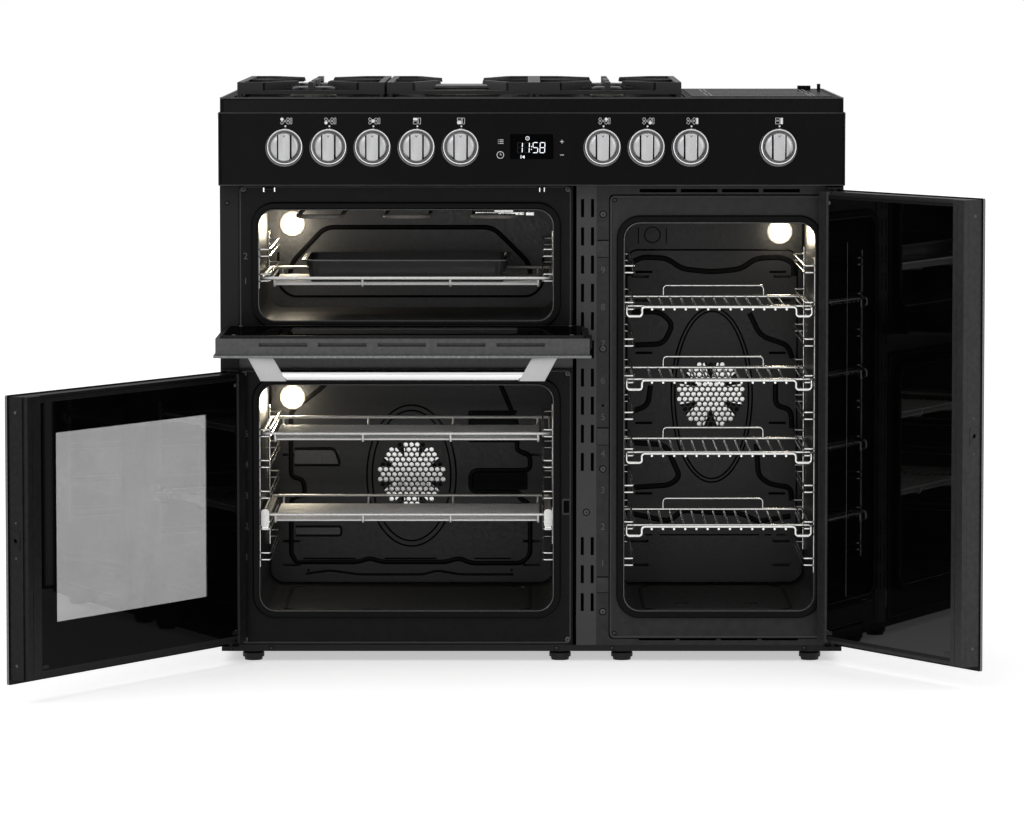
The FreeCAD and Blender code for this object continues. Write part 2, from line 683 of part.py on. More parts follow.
def make_main_cavity():
    across = ("cavity_left", "cavity_right")
    body = make_cavity("main_cavity", across, ("main_floor", "main_ceiling"), "oven_depth",
                       (LEFT_FRAME_LEFT, LEFT_FRAME_RIGHT), (BASE_TOP, "main_frame_top"))
    ledge = front_sketch(body, FRAME)
    rectangle(ledge, (LEFT_FRAME_LEFT, LEFT_FRAME_RIGHT), ("main_frame_top - sheet_steel", "main_frame_top"))
    pad(body, ledge, "hinge_recess", backwards=True)
    shaft_hole(body, MAIN_CENTRE, MAIN_FAN_LEVEL)
    return body


def make_tall_cavity():
    across = ("tall_left", "tall_right")
    raised = (
        ("raised_frame_left", f"{TALL_FRAME_RIGHT}"),
        (f"{BASE_TOP} + raised_frame_margin", "fascia_bottom - raised_frame_margin - 6"),
    )
    body = make_cavity("tall_cavity", across, ("main_floor", "tall_ceiling"), "oven_depth",
                       (TALL_FRAME_LEFT, TALL_FRAME_RIGHT), (BASE_TOP, "fascia_bottom"), raised)
    vents = front_sketch(body, f"{FRAME} - raised_frame_step")
    for row in (f"{BASE_TOP} + vent_margin", "fascia_bottom - vent_margin"):
        for number in range(4):
            middle = f"({TALL_CENTRE} + ({number} - 1.5) * vent_pitch)"
            rectangle(vents, (f"{middle} - vent_length / 2", f"{middle} + vent_length / 2"),
                      (f"{row} - vent_height / 2", f"{row} + vent_height / 2"))
    pocket(body, vents, "raised_frame_step + 2 * sheet_steel")
    shaft_hole(body, TALL_CENTRE, TALL_FAN_LEVEL)
    return body


def seal_ring(name, across, upright, face):
    """A hollow ring of rubber from a cavity's frame almost to the shut door."""
    body = new_body(name)
    ring = front_sketch(body, face)
    rounded(ring, (f"{across[0]} - seal_width", f"{across[1]} + seal_width"),
            (f"{upright[0]} - seal_width", f"{upright[1]} + seal_width"), "opening_corner + seal_width")
    rounded(ring, across, upright, "opening_corner")
    height = f"({face} - {FRONT} - door_depth - seal_gap)"
    pad(body, ring, height)
    front = mm(face) - mm(height)
    soften(body, "seal_width / 4", lambda edge: lies_at(edge, "y", front))
    return body


def make_door_seals():
    left = ("cavity_left", "cavity_right")
    return group("door_seals", [
        seal_ring("grill_seal", left, ("grill_floor", "grill_ceiling"), FRAME),
        seal_ring("main_seal", left, ("main_floor", "main_ceiling"), FRAME),
        seal_ring("tall_seal", ("tall_left", "tall_right"), ("main_floor", "tall_ceiling"),
                  f"({FRAME} - raised_frame_step)"),
    ])


# ---- hob ---------------------------------------------------------------------------------------------------

BURNERS = [
    ("left_burners", "rear_burner_setback", "large_crown"),
    ("left_burners", "burner_setback", "medium_crown"),
    ("wok_burner", "wok_setback", "wok_crown"),
    ("right_burners", "rear_burner_setback", "medium_crown"),
    ("right_burners", "burner_setback", "small_crown"),
]
HOB_EDGE = (f"({LEFT} + hob_side_inset)", f"({RIGHT} - hob_side_inset)")
HOB_DEPTH = (f"({FRONT} + hob_front_inset)", "(cooker_depth / 2)")
CERAMIC = ("ceramic_left", "(ceramic_left + ceramic_width)")
CERAMIC_DEPTH = (f"({FRONT} + ceramic_margin)", "(cooker_depth / 2 - ceramic_margin)")


def make_hob_tray():
    """A pressed tray, open below, with a well on the gas side and two small fittings at the right rear."""
    body = new_body("hob_tray")
    outline = new_sketch(body, "XY_Plane", CASING_TOP)
    rounded(outline, HOB_EDGE, HOB_DEPTH, "fascia_corner")
    pad(body, outline, "hob_edge_height")
    soften(body, "hob_skin", lambda edge: lies_at(edge, "z", mm(HOB_TOP)))
    hollow = new_sketch(body, "XY_Plane", CASING_TOP)
    rectangle(hollow, (f"{HOB_EDGE[0]} + hob_skin", f"{HOB_EDGE[1]} - hob_skin"),
              (f"{HOB_DEPTH[0]} + hob_skin", f"{HOB_DEPTH[1]} - hob_skin"))
    pocket(body, hollow, "hob_edge_height - hob_skin", forwards=True)
    well = new_sketch(body, "XY_Plane", HOB_TOP)
    rounded(well, (f"{HOB_EDGE[0]} + well_margin", "well_right"),
            (f"{HOB_DEPTH[0]} + well_margin", f"{HOB_DEPTH[1]} - well_margin"), "2 * fascia_corner")
    pocket(body, well, "well_depth")
    recess = new_sketch(body, "XY_Plane", HOB_TOP)
    rounded(recess, CERAMIC, CERAMIC_DEPTH, "fascia_corner")
    pocket(body, recess, "ceramic_thickness - 1")
    holes = new_sketch(body, "XY_Plane", HOB_TOP)
    for x, setback, crown in BURNERS:
        circle(holes, x, f"{FRONT} + {setback}", "burner_cup + 1")
    pocket(body, holes, "2 * hob_skin")
    button = new_sketch(body, "XY_Plane", HOB_TOP)
    rectangle(button, (f"{HOB_EDGE[1]} - 46", f"{HOB_EDGE[1]} - 24"), (f"{HOB_DEPTH[1]} - 36", f"{HOB_DEPTH[1]} - 24"))
    pad(body, button, "ceramic_thickness + 2")
    stub = new_sketch(body, "XY_Plane", HOB_TOP)
    circle(stub, f"{HOB_EDGE[1]} - 10", f"{HOB_DEPTH[1]} - 30", "shaft_diameter")
    pad(body, stub, "ceramic_thickness + 5")
    return body


def make_ceramic_plate():
    body = new_body("ceramic_plate")
    outline = new_sketch(body, "XY_Plane", f"{HOB_TOP} - ceramic_thickness + 1")
    rounded(outline, (f"{CERAMIC[0]} + 0.5", f"{CERAMIC[1]} - 0.5"),
            (f"{CERAMIC_DEPTH[0]} + 0.5", f"{CERAMIC_DEPTH[1]} - 0.5"), "fascia_corner - 0.5")
    pad(body, outline, "ceramic_thickness")
    soften(body, "ceramic_thickness / 5", lambda edge: lies_at(edge, "z", mm(HOB_TOP) + 1))
    return body


def make_burner_bodies():
    """A cup through the hob and a slightly conical crown on it, for each burner."""
    bodies = []
    for number, (x, setback, crown) in enumerate(BURNERS, start=1):
        y = f"{FRONT} + {setback}"
        cup = cylinder(f"cup_{number}", (x, y, f"{WELL_FLOOR} - cup_depth"), "z", "burner_cup", "cup_depth")
        ring = cone(f"crown_{number}", (x, y, WELL_FLOOR), "z", crown, f"{crown} - 8", "crown_height")
        bodies.append(fuse(f"burner_{number}", [cup, ring]))
    return group("burner_bodies", bodies)


def make_burner_caps():
    caps = []
    for number, (x, setback, crown) in enumerate(BURNERS, start=1):
        place = (x, f"{FRONT} + {setback}", f"{WELL_FLOOR} + crown_height")
        caps.append(cone(f"cap_{number}", place, "z", f"{crown} - 6", f"{crown} - 14", "cap_height"))
    return group("burner_caps", caps)


def cast_bar(start, end, low, high):
    """A straight bar of the pan support between two points of the plan."""
    along = Vector(end[0] - start[0], end[1] - start[1], 0)
    width = mm("grate_bar")
    bar = Part.makeBox(along.Length, width, high - low, Vector(0, -width / 2, low))
    bar.Placement = Placement(Vector(start[0], start[1], 0), Rotation(Vector(1, 0, 0), along)) * bar.Placement
    return bar


def cast_finger(root, tip, low, high):
    """A bar whose underside rises towards its tip, clear of the burner's cap."""
    along = Vector(tip[0] - root[0], tip[1] - root[1], 0)
    length = along.Length
    width = mm("grate_bar") - 1
    tip_low = high - mm("tip_depth")
    rise = min(length * 0.35, 30)
    side = [(0, low), (length - 2 * rise, low), (length - rise, tip_low), (length, tip_low), (length - 4, high), (0, high)]
    outline = Part.makePolygon([Vector(x, -width / 2, z) for x, z in side + side[:1]])
    finger = Part.Face(outline).extrude(Vector(0, width, 0))
    finger.Placement = Placement(Vector(root[0], root[1], 0), Rotation(Vector(1, 0, 0), along))
    return finger


def make_pan_support(name, x_name, setbacks, tip_across, tip_along):
    """A cast grate: two side bars on feet, low cross bars, corner returns and fingers round each burner."""
    x = mm(x_name)
    floor = mm(WELL_FLOOR)
    low = floor + mm("grate_foot")
    high = floor + mm("grate_height")
    bar = mm("grate_bar")
    cross_top = low + bar * 0.6
    half = mm("grate_width / 2") - bar / 2
    front = mm(f"{FRONT} + grate_setback") + bar / 2
    rear = front + mm("grate_depth") - bar
    middle = (front + rear) / 2
    corner = half * 0.68
    across = mm(tip_across)
    along = mm(tip_along)
    burners = sorted(mm(f"{FRONT} + {setback}") for setback in setbacks)
    shapes = []
    for side in (-1, 1):
        edge = x + side * half
        shapes.append(cast_bar((edge, front - bar / 2), (edge, rear + bar / 2), low, high))
        for y in (front, rear):
            shapes.append(cast_bar((edge + side * bar / 2, y), (x + side * corner, y), low, high))
        for y in (front, middle, rear):
            shapes.append(Part.makeCylinder(bar / 2, low - floor + 1, Vector(edge, y, floor)))
    for y in (front, rear) if len(burners) == 1 else (front, middle, rear):
        shapes.append(cast_bar((x - half, y), (x + half, y), low, cross_top))
    for burner, end, other in ((burners[0], front, middle), (burners[-1], rear, middle)):
        way = 1 if end > burner else -1
        for side in (-1, 1):
            shapes.append(cast_finger((x + side * corner, end), (x + side * across, burner + way * along), low, high))
        if len(burners) == 1:
            continue
        shapes.append(cast_finger((x, end), (x, burner + way * mm("finger_gap")), low, high))
        shapes.append(cast_finger((x, other), (x, burner - way * mm("finger_gap")), low, high))
        for side in (-1, 1):
            shapes.append(cast_finger((x + side * half, other), (x + side * across, burner - way * along), low, high))
    if len(burners) == 1:
        for side in (-1, 1):
            shapes.append(cast_finger((x + side * half, middle), (x + side * mm("wok_side_gap"), middle), low, high))
    return computed(name, welded(shapes).removeSplitter())


# ---- fascia, knobs and what is behind them -----------------------------------------------------------------


def knob_place(step):
    """X of a knob: the steps count outwards from the nearest knob on each side."""
    side = 1 if step > 0 else -1
    return f"({side} * (knob_offset + {abs(step) - 1} * knob_pitch))"


ALL_KNOBS = {**GAS_KNOBS, **ELECTRIC_KNOBS}


def make_control_panel():
    """A folded fascia, open at the back, with a hole for each spindle and the clock's window."""
    body = new_body("control_panel")
    upright = ("fascia_bottom", CASING_TOP)
    outline = front_sketch(body, FRONT)
    rectangle(outline, (LEFT, RIGHT), upright)
    pad(body, outline, "door_space", backwards=True)
    edges = (mm(LEFT), mm(RIGHT))
    soften(body, "fascia_corner", lambda edge: lies_at(edge, "y", mm(FRONT)) and any(lies_at(edge, "x", x) for x in edges))
    hollow = front_sketch(body, FRAME)
    rectangle(hollow, (f"{LEFT} + fascia_corner", f"{RIGHT} - fascia_corner"),
              (f"{upright[0]} + fascia_skin", f"{upright[1]} - fascia_skin"))
    pocket(body, hollow, "door_space - fascia_skin", forwards=True)
    holes = front_sketch(body, FRONT)
    for step in ALL_KNOBS.values():
        circle(holes, knob_place(step), "knob_level", "spindle_hole")
    rectangle(holes, ("-display_width / 2", "display_width / 2"),
              ("knob_level - display_height / 2", "knob_level + display_height / 2"))
    pocket(body, holes, "2 * fascia_skin")
    return body


def make_knob_bezels():
    rings = []
    for name, step in ALL_KNOBS.items():
        start = (knob_place(step), f"{FRONT} - bezel_depth", "knob_level")
        outer = cone(f"bezel_outer_{name}", start, "y", "bezel_outer - 3", "bezel_outer", "bezel_depth")
        inner = cylinder(f"bezel_inner_{name}", start, "y", "bezel_inner", "bezel_depth")
        rings.append(cut(f"bezel_{name}", outer, [inner]))
    return group("knob_bezels", rings)


def make_knob(name, step):
    """A disc with a raised grip across it, bored from behind for its spindle."""
    body = new_body(f"knob_{name}")
    x = knob_place(step)
    disc = front_sketch(body, KNOB_BACK)
    circle(disc, x, "knob_level", "knob_diameter")
    pad(body, disc, "knob_disc")
    soften(body, "knob_disc / 6", lambda edge: lies_at(edge, "y", mm(f"{KNOB_BACK} - knob_disc")))
    grip = front_sketch(body, KNOB_BACK)
    half = "(sqrt(pow(knob_diameter / 2; 2) - pow(knob_grip_width / 2; 2)) - 0.5)"
    rectangle(grip, (f"{x} - knob_grip_width / 2", f"{x} + knob_grip_width / 2"),
              (f"knob_level - {half}", f"knob_level + {half}"))
    pad(body, grip, "knob_grip_depth")
    soften(body, "knob_grip_width / 14", lambda edge: lies_at(edge, "y", mm(f"{KNOB_BACK} - knob_grip_depth")))
    bore = front_sketch(body, KNOB_BACK)
    circle(bore, x, "knob_level", "spindle_diameter + 2 * knob_play")
    pocket(body, bore, "knob_bore_depth", forwards=True)
    return body


def make_spindle(name, step):
    """A gas tap's spindle, flat on one side where the tap's cam grips it."""
    body = new_body(f"spindle_{name}")
    front = f"({KNOB_BACK} - knob_bore_depth + 0.4)"
    section = front_sketch(body, front)
    circle(section, knob_place(step), "knob_level", "spindle_diameter")
    pad(body, section, f"{FRONT} + spindle_reach - {front}", backwards=True)
    flat = front_sketch(body, f"{FRONT} + spindle_reach - 8")
    x = knob_place(step)
    rectangle(flat, (f"{x} - spindle_diameter", f"{x} + spindle_diameter"),
              ("knob_level + spindle_diameter / 4", "knob_level + spindle_diameter"))
    pocket(body, flat, "spindle_diameter * 2")
    return body


def make_control_gear():
    """Gas rail with taps and inlet, rotary switches, clock and the supply terminal with its gland."""
    skin = f"({FRONT} + fascia_skin)"
    pieces = []
    taps = []
    for name, step in GAS_KNOBS.items():
        x = knob_place(step)
        half = "tap_width / 2"
        block = box(f"tap_{name}", (f"{x} - {half}", f"{x} + {half}"), (skin, f"{FRONT} + tap_depth"),
                    (f"knob_level - {half}", f"knob_level + {half}"))
        bore = cylinder(f"tap_bore_{name}", (x, skin, "knob_level"), "y", "spindle_diameter + 2 * knob_play",
                        "spindle_reach + press_travel + 1")
        taps.append(cut(f"bored_tap_{name}", block, [bore]))
    rail_start = f"({knob_place(GAS_KNOBS['left_rear'])} - tap_width / 2)"
    rail_y = f"({FRONT} + gas_rail_setback - 0.5)"
    elbow = "gas_rail_diameter * 0.7"
    taps.append(cylinder("gas_rail", (rail_start, rail_y, "knob_level"), "x", "gas_rail_diameter",
                         f"gas_inlet_place - {rail_start}"))
    taps.append(box("gas_elbow", (f"gas_inlet_place - {elbow}", f"gas_inlet_place + {elbow}"),
                    (f"{rail_y} - {elbow}", f"{rail_y} + {elbow}"), (f"knob_level - {elbow}", f"knob_level + {elbow}")))
    taps.append(cylinder("gas_feed", ("gas_inlet_place", f"{rail_y} + {elbow} / 2", "knob_level"), "y",
                         "gas_rail_diameter", f"{REAR} + 2 - ({rail_y} + {elbow} / 2)"))
    taps.append(cylinder("gas_inlet", ("gas_inlet_place", REAR, "knob_level"), "y", "gas_thread", "gas_thread_length"))
    pieces.append(fuse("gas_train", taps))
    for name, step in ELECTRIC_KNOBS.items():
        x = knob_place(step)
        half = "switch_width / 2"
        block = box(f"switch_box_{name}", (f"{x} - {half}", f"{x} + {half}"), (skin, f"{skin} + switch_depth"),
                    (f"knob_level - {half}", f"knob_level + {half}"))
        front = f"({KNOB_BACK} - knob_bore_depth + 0.4)"
        spindle = cylinder(f"switch_spindle_{name}", (x, front, "knob_level"), "y", "spindle_diameter", f"{skin} + 2 - {front}")
        pieces.append(fuse(f"switch_{name}", [block, spindle]))
    pieces.append(box("clock_module", ("-display_width / 2 - 8", "display_width / 2 + 8"), (skin, f"{skin} + 24"),
                      ("knob_level - display_height / 2 - 6", "knob_level + display_height / 2 + 6")))
    terminal = box("terminal_box", ("gland_place - 40", "gland_place + 30"), (f"{REAR} - sheet_steel - 40", f"{REAR} - sheet_steel"),
                   ("gland_level - 35", "gland_level + 35"))
    nozzle = cylinder("gland_body", ("gland_place", f"{REAR} - sheet_steel - 2", "gland_level"), "y", "gland_outer", "17")
    bore = cylinder("gland_way", ("gland_place", f"{REAR} - 20", "gland_level"), "y", "gland_bore", "40")
    pieces.append(cut("supply_terminal", fuse("terminal_body", [terminal, nozzle]), [bore]))
    return group("control_gear", pieces)


# ---- doors -------------------------------------------------------------------------------------------------


def swung(item, angle, axis, centre):
    """Turns a shut door's piece about its hinge to where the door stands."""
    item.Placement = Placement(Vector(), Rotation(axis, angle), centre)


def pane(name, across, upright, face, corner):
    body = new_body(name)
    outline = front_sketch(body, face)
    rounded(outline, across, upright, corner)
    pad(body, outline, "glass_thickness", backwards=True)
    return body


def door_frame(name, across, upright, tools_for):
    """Four bars round the window, left and right at full height. tools_for cuts holes in the bar it names."""
    depth = (f"{FRONT} + glass_thickness", f"{FRONT} + door_depth - glass_thickness")
    inner_across = (f"{across[0]} + frame_bar_width", f"{across[1]} - frame_bar_width")
    bars = {
        "left": ((across[0], inner_across[0]), upright),
        "right": ((inner_across[1], across[1]), upright),
        "bottom": (inner_across, (upright[0], f"{upright[0]} + frame_bar_width")),
        "top": (inner_across, (f"{upright[1]} - frame_bar_width", upright[1])),
    }
    pieces = []
    for side, (x, z) in bars.items():
        bar = box(f"{name}_{side}", x, depth, z)
        tools = tools_for.get(side)
        pieces.append(cut(f"{name}_{side}_bar", bar, tools) if tools else bar)
    return group(name, pieces)


def door_handle(name, across, level):
    """A round bar between two slanting brackets."""
    body = new_body(name)
    tip = f"{FRONT} - handle_depth"
    left = f"({across[0]} + handle_inset)"
    right = f"({across[1]} - handle_inset)"
    for start, way in ((left, 1), (right, -1)):
        bracket = new_sketch(body, "XY_Plane", level)
        width = f"{way} * bracket_width"
        slant = f"{way} * bracket_slant"
        polygon(bracket, [(start, FRONT), (f"{start} + {width}", FRONT),
                          (f"{start} + {width} + {slant}", tip), (f"{start} + {slant}", tip)])
        pad(body, bracket, "handle_bar + 0.8", both_ways=True)
        if way == 1:
            reach = f"{left} + bracket_width"
            bar = new_sketch(body, "YZ_Plane", reach)
            circle(bar, f"{tip} + handle_bar / 2 + 0.4", level, "handle_bar")
            pad(body, bar, f"{right} - bracket_width - ({reach})")
    return body


def latch_cut(name, x, level):
    """A latch hole through a frame's free side."""
    return box(name, (f"{x} - 2 * frame_bar_width", f"{x} + 2 * frame_bar_width"),
               (f"{FRONT} + door_depth / 2 - latch_width / 2", f"{FRONT} + door_depth / 2 + latch_width / 2"),
               (f"{level} - latch_height / 2", f"{level} + latch_height / 2"))


def make_side_door(prefix, across, upright, hinge_x, hinge_side, angle):
    """An oven door on upright pins: outer pane, frame, inner pane and handle, built shut and swung open."""
    frame_across = (f"({across[0]} + frame_side_inset)", f"({across[1]} - frame_side_inset)")
    frame_upright = (f"({upright[0]} + frame_inset)", f"({upright[1]} - frame_inset / 4)")
    holes = []
    for end, start in (("low", f"{frame_upright[0]} - 1"), ("high", f"{frame_upright[1]} - pin_reach - 1")):
        holes.append(cylinder(f"{prefix}_{end}_pin_hole", (hinge_x, HINGE_Y, start), "z",
                              "hinge_pin + 2 * pin_play", "pin_reach + 2"))
    free_side = "left" if hinge_side == "right" else "right"
    free_x = frame_across[0] if free_side == "left" else frame_across[1]
    middle = f"(({upright[0]} + {upright[1]}) / 2)"
    tools = {hinge_side: holes, free_side: [latch_cut(f"{prefix}_latch", free_x, middle)]}
    inset = "inner_pane_inset"
    pieces = [
        pane(f"{prefix}_outer_glass", across, upright, FRONT, "glass_corner"),
        door_frame(f"{prefix}_frame", frame_across, frame_upright, tools),
        pane(f"{prefix}_inner_glass", (f"{frame_across[0]} + {inset}", f"{frame_across[1]} - {inset}"),
             (f"{frame_upright[0]} + {inset}", f"{frame_upright[1]} - {inset}"),
             f"{FRONT} + door_depth - glass_thickness", "2 * glass_corner"),
        door_handle(f"{prefix}_handle", across, f"({upright[1]} - handle_drop)"),
    ]
    doc.recompute()
    for piece in pieces:
        swung(piece, angle, Vector(0, 0, 1), point(hinge_x, HINGE_Y, "0"))
    return pieces


def make_grill_door():
    """The drop-down door: its outer pane reaches below the pins and turns into the recess when it opens."""
    across = LEFT_DOOR
    frame_across = (f"({across[0]} + frame_side_inset)", f"({across[1]} - frame_side_inset)")
    frame_upright = ("grill_frame_foot", "(door_top - frame_inset)")
    holes = {}
    for side, start in (("left", f"{frame_across[0]} - 1"), ("right", f"{frame_across[1]} - pin_reach - 1")):
        holes[side] = [cylinder(f"grill_door_{side}_pin_hole", (start, GRILL_HINGE_Y, "grill_axis_height"), "x",
                                "grill_pin + 2 * pin_play", "pin_reach + 2")]
    vents = []
    for number in range(5):
        start = f"({across[0]} + door_vent_inset + {number} * door_vent_pitch)"
        middle = f"({FRONT} + door_depth * 0.6)"
        vents.append(box(f"grill_door_vent_{number}", (start, f"{start} + door_vent_length"),
                         (f"{middle} - door_vent_width / 2", f"{middle} + door_vent_width / 2"),
                         (f"{frame_upright[1]} - 12", f"{frame_upright[1]} + 1")))
    inset = "inner_pane_inset"
    pieces = [
        pane("grill_door_outer_glass", across, (GRILL_DOOR_FOOT, "door_top"), FRONT, "glass_corner"),
        door_frame("grill_door_frame", frame_across, frame_upright, {**holes, "top": vents}),
        pane("grill_door_inner_glass", (f"{frame_across[0]} + {inset}", f"{frame_across[1]} - {inset}"),
             (f"{frame_upright[0]} + {inset}", f"{frame_upright[1]} - {inset}"),
             f"{FRONT} + door_depth - glass_thickness", "2 * glass_corner"),
        door_handle("grill_door_handle", across, "(door_top - handle_drop)"),
    ]
    doc.recompute()
    for piece in pieces:
        swung(piece, mm("grill_open_angle"), Vector(1, 0, 0), point("0", GRILL_HINGE_Y, "grill_axis_height"))
    return pieces


def upright_hinge(name, hinge_x, plate_z, pin_z):
    """A bracket from the cabinet's face with an upright pin."""
    half = "hinge_plate_width / 2"
    plate = box(f"{name}_plate", (f"{hinge_x} - {half}", f"{hinge_x} + {half}"),
                (f"{FRONT} + glass_thickness + 1", FRAME), plate_z)
    pin = cylinder(f"{name}_pin", (hinge_x, HINGE_Y, pin_z[0]), "z", "hinge_pin", f"{pin_z[1]} - {pin_z[0]}")
    return fuse(name, [plate, pin])


def make_door_hinges():
    hinges = []
    low = ("door_bottom - 1 - hinge_plate", "door_bottom - 1")
    low_pin = (low[1], "(door_bottom + frame_inset + pin_reach)")
    doors = (("main", MAIN_HINGE_X, "main_door_top", "top_hinge_plate", "0.5"),
             ("tall", TALL_HINGE_X, "door_top", "hinge_plate", "1"))
    for prefix, hinge_x, top, plate, gap in doors:
        hinges.append(upright_hinge(f"{prefix}_low_hinge", hinge_x, low, low_pin))
        high = (f"{top} + {gap}", f"{top} + {gap} + {plate}")
        high_pin = (f"({top} - frame_inset / 4 - pin_reach)", high[0])
        hinges.append(upright_hinge(f"{prefix}_high_hinge", hinge_x, high, high_pin))
    thickness = "(door_split_gap - 1)"
    for side, edge, way in (("left", LEFT_DOOR[0], -1), ("right", LEFT_DOOR[1], 1)):
        near = f"({edge} + {way} * 0.5)"
        far = f"({near} + {way} * {thickness})"
        x = (far, near) if way < 0 else (near, far)
        plate = box(f"grill_{side}_plate", x, (FRONT, FRAME), ("grill_axis_height - 9", "grill_axis_height + 9"))
        reach = f"({edge} - {way} * (frame_side_inset + pin_reach))"
        pin_start = near if way < 0 else reach
        pin = cylinder(f"grill_{side}_pin", (pin_start, GRILL_HINGE_Y, "grill_axis_height"), "x", "grill_pin",
                       "frame_side_inset + pin_reach + 0.5")
        hinges.append(fuse(f"grill_{side}_hinge", [plate, pin]))
    return group("door_hinges", hinges)


# ---- inside the ovens --------------------------------------------------------------------------------------


def level_height(first, pitch, level):
    return f"({first} + {level - 1} * {pitch})"


def side_rack(wall_x, way, first, pitch, levels):
    """A ladder of paired level wires on two uprights. way points into the oven."""
    post_x = wall_x + way * (mm("rack_play") + mm("rack_post") / 2)
    reach_x = wall_x + way * mm("cavity_step + rack_reach")
    front = mm(f"{FRAME} + rack_front")
    rear = front + mm("rack_length")
    low = mm(first) - 12
    high = mm(level_height(first, pitch, levels)) + mm("wire_spread") + 12
    shapes = [rod(Vector(post_x, y, low), Vector(post_x, y, high), mm("rack_post")) for y in (front + 3, rear - 3)]
    for level in range(1, levels + 1):
        for lift in (0, mm("wire_spread")):
            z = mm(level_height(first, pitch, level)) + lift
            corners = [Vector(post_x, front, z), Vector(reach_x, front, z), Vector(reach_x, rear, z), Vector(post_x, rear, z)]
            shapes.append(bent_wire(corners, 4, mm("rack_wire")))
    return shapes


def runner_top():
    """Top of the fixed runner rail, which hangs on the second level's wires."""
    return mm(f"{level_height('main_level_first', 'main_level_pitch', 2)} - rack_wire / 2 + runner_height")


def runner_rail(wall_x, way):
    """The fixed half of a telescopic runner, clipped over the second level's wires."""
    near = wall_x + way * mm("cavity_step + 3.5")
    width = way * mm("runner_width")
    wire = mm("rack_wire")
    front = mm(f"{FRAME} + rack_front") - wire / 3
    low = runner_top() - mm("runner_height")
    corner = Vector(min(near, near + width), front, low)
    return Part.makeBox(abs(width), mm("rack_length") + wire * 2 / 3, mm("runner_height"), corner)


def make_side_racks():
    racks = []
    ovens = [
        ("cavity_left", "cavity_right", "main_level_first", "main_level_pitch", MAIN_LEVELS),
        ("cavity_left", "cavity_right", "grill_level_first", "grill_level_pitch", GRILL_LEVELS),
        ("tall_left", "tall_right", "tall_level_first", "tall_level_pitch", TALL_LEVELS),
    ]
    for left, right, first, pitch, levels in ovens:
        for wall, way in ((f"{left} - cavity_step", 1), (f"{right} + cavity_step", -1)):
            shapes = side_rack(mm(wall), way, first, pitch, levels)
            if first == "main_level_first":
                shapes.append(runner_rail(mm(wall), way))
            racks.append(welded(shapes))
    return computed("side_racks", Part.makeCompound(racks))


def shelf_half_width(left, right):
    """From an oven's middle to a shelf's side wire, which runs between the level wires and the wall."""
    return mm(f"({right} - {left}) / 2 + cavity_step - rack_play - rack_post - 0.7 - shelf_wire / 2")


def make_tall_shelf(name, level):
    """Wires from front to back on a frame whose front corners dip, with a low fence at the rear."""
    wire = mm("shelf_wire")
    thin = mm("grid_wire")
    half = shelf_half_width("tall_left", "tall_right")
    inner = half - mm("shelf_loop")
    back = mm("shelf_depth")
    drop = -mm("shelf_drop")
    frame = [Vector(-half, back, 0), Vector(-half, 0, 0), Vector(-half, 0, drop), Vector(-inner, 0, drop),
             Vector(-inner, 0, 0), Vector(inner, 0, 0), Vector(inner, 0, drop), Vector(half, 0, drop),
             Vector(half, 0, 0), Vector(half, back, 0)]
    shapes = [bent_wire(frame, wire, wire)]
    shapes.append(rod(Vector(-half - wire / 2, back, 0), Vector(half + wire / 2, back, 0), wire))
    shapes.append(rod(Vector(-half, 24, 0), Vector(half, 24, 0), thin))
    count = int(inner / mm("wire_pitch"))
    under = -(wire + thin) / 2 + 0.6
    for number in range(-count, count + 1):
        x = number * mm("wire_pitch")
        shapes.append(rod(Vector(x, -2, under), Vector(x, back + 2, under), thin))
    fence_x = inner - 41
    top = mm("shelf_fence")
    fence = [Vector(-fence_x, back, 0), Vector(-fence_x, back, top), Vector(fence_x, back, top), Vector(fence_x, back, 0)]
    shapes.append(bent_wire(fence, 6, wire - 1))
    z = rest_height("tall_level_first", "tall_level_pitch", level)
    return computed(name, welded(shapes), Vector(mm(TALL_CENTRE), mm(f"{FRAME} + rack_front - 8"), z))


def wide_shelf():
    """A sunken grid of cross wires hung in a frame of thicker wire, with its front rod on the origin."""
    wire = mm("shelf_wire")
    thin = mm("grid_wire")
    half = shelf_half_width("cavity_left", "cavity_right")
    back = mm("wide_shelf_depth")
    sink = -mm("wide_shelf_sink")
    grid_half = half - mm("wide_grid_inset")
    frame = [Vector(0, 0, 0), Vector(half, 0, 0), Vector(half, back, 0), Vector(-half, back, 0), Vector(-half, 0, 0), Vector(0, 0, 0)]
    shapes = [bent_wire(frame, 8, wire)]
    for x in (-grid_half, -grid_half / 3, grid_half / 3, grid_half):
        hanger = [Vector(x, 0, 0), Vector(x, 3, sink - thin + 1), Vector(x, back - 3, sink - thin + 1), Vector(x, back, 0)]
        shapes.append(bent_wire(hanger, 4, thin))
    count = int((back - 50) / mm("wide_wire_pitch"))
    for number in range(count):
        y = 10 + number * mm("wide_wire_pitch")
        shapes.append(rod(Vector(-grid_half - 2, y, sink), Vector(grid_half + 2, y, sink), thin))
    return welded(shapes)


def wide_shelf_place(z):
    return Vector(mm(MAIN_CENTRE), mm(f"{FRAME} + rack_front + 6"), z)


def rest_height(first, pitch, level):
    """Height of a shelf's frame wire that lies on a level's lower wire."""
    return mm(f"{level_height(first, pitch, level)} + (rack_wire + shelf_wire) / 2 + rack_play")


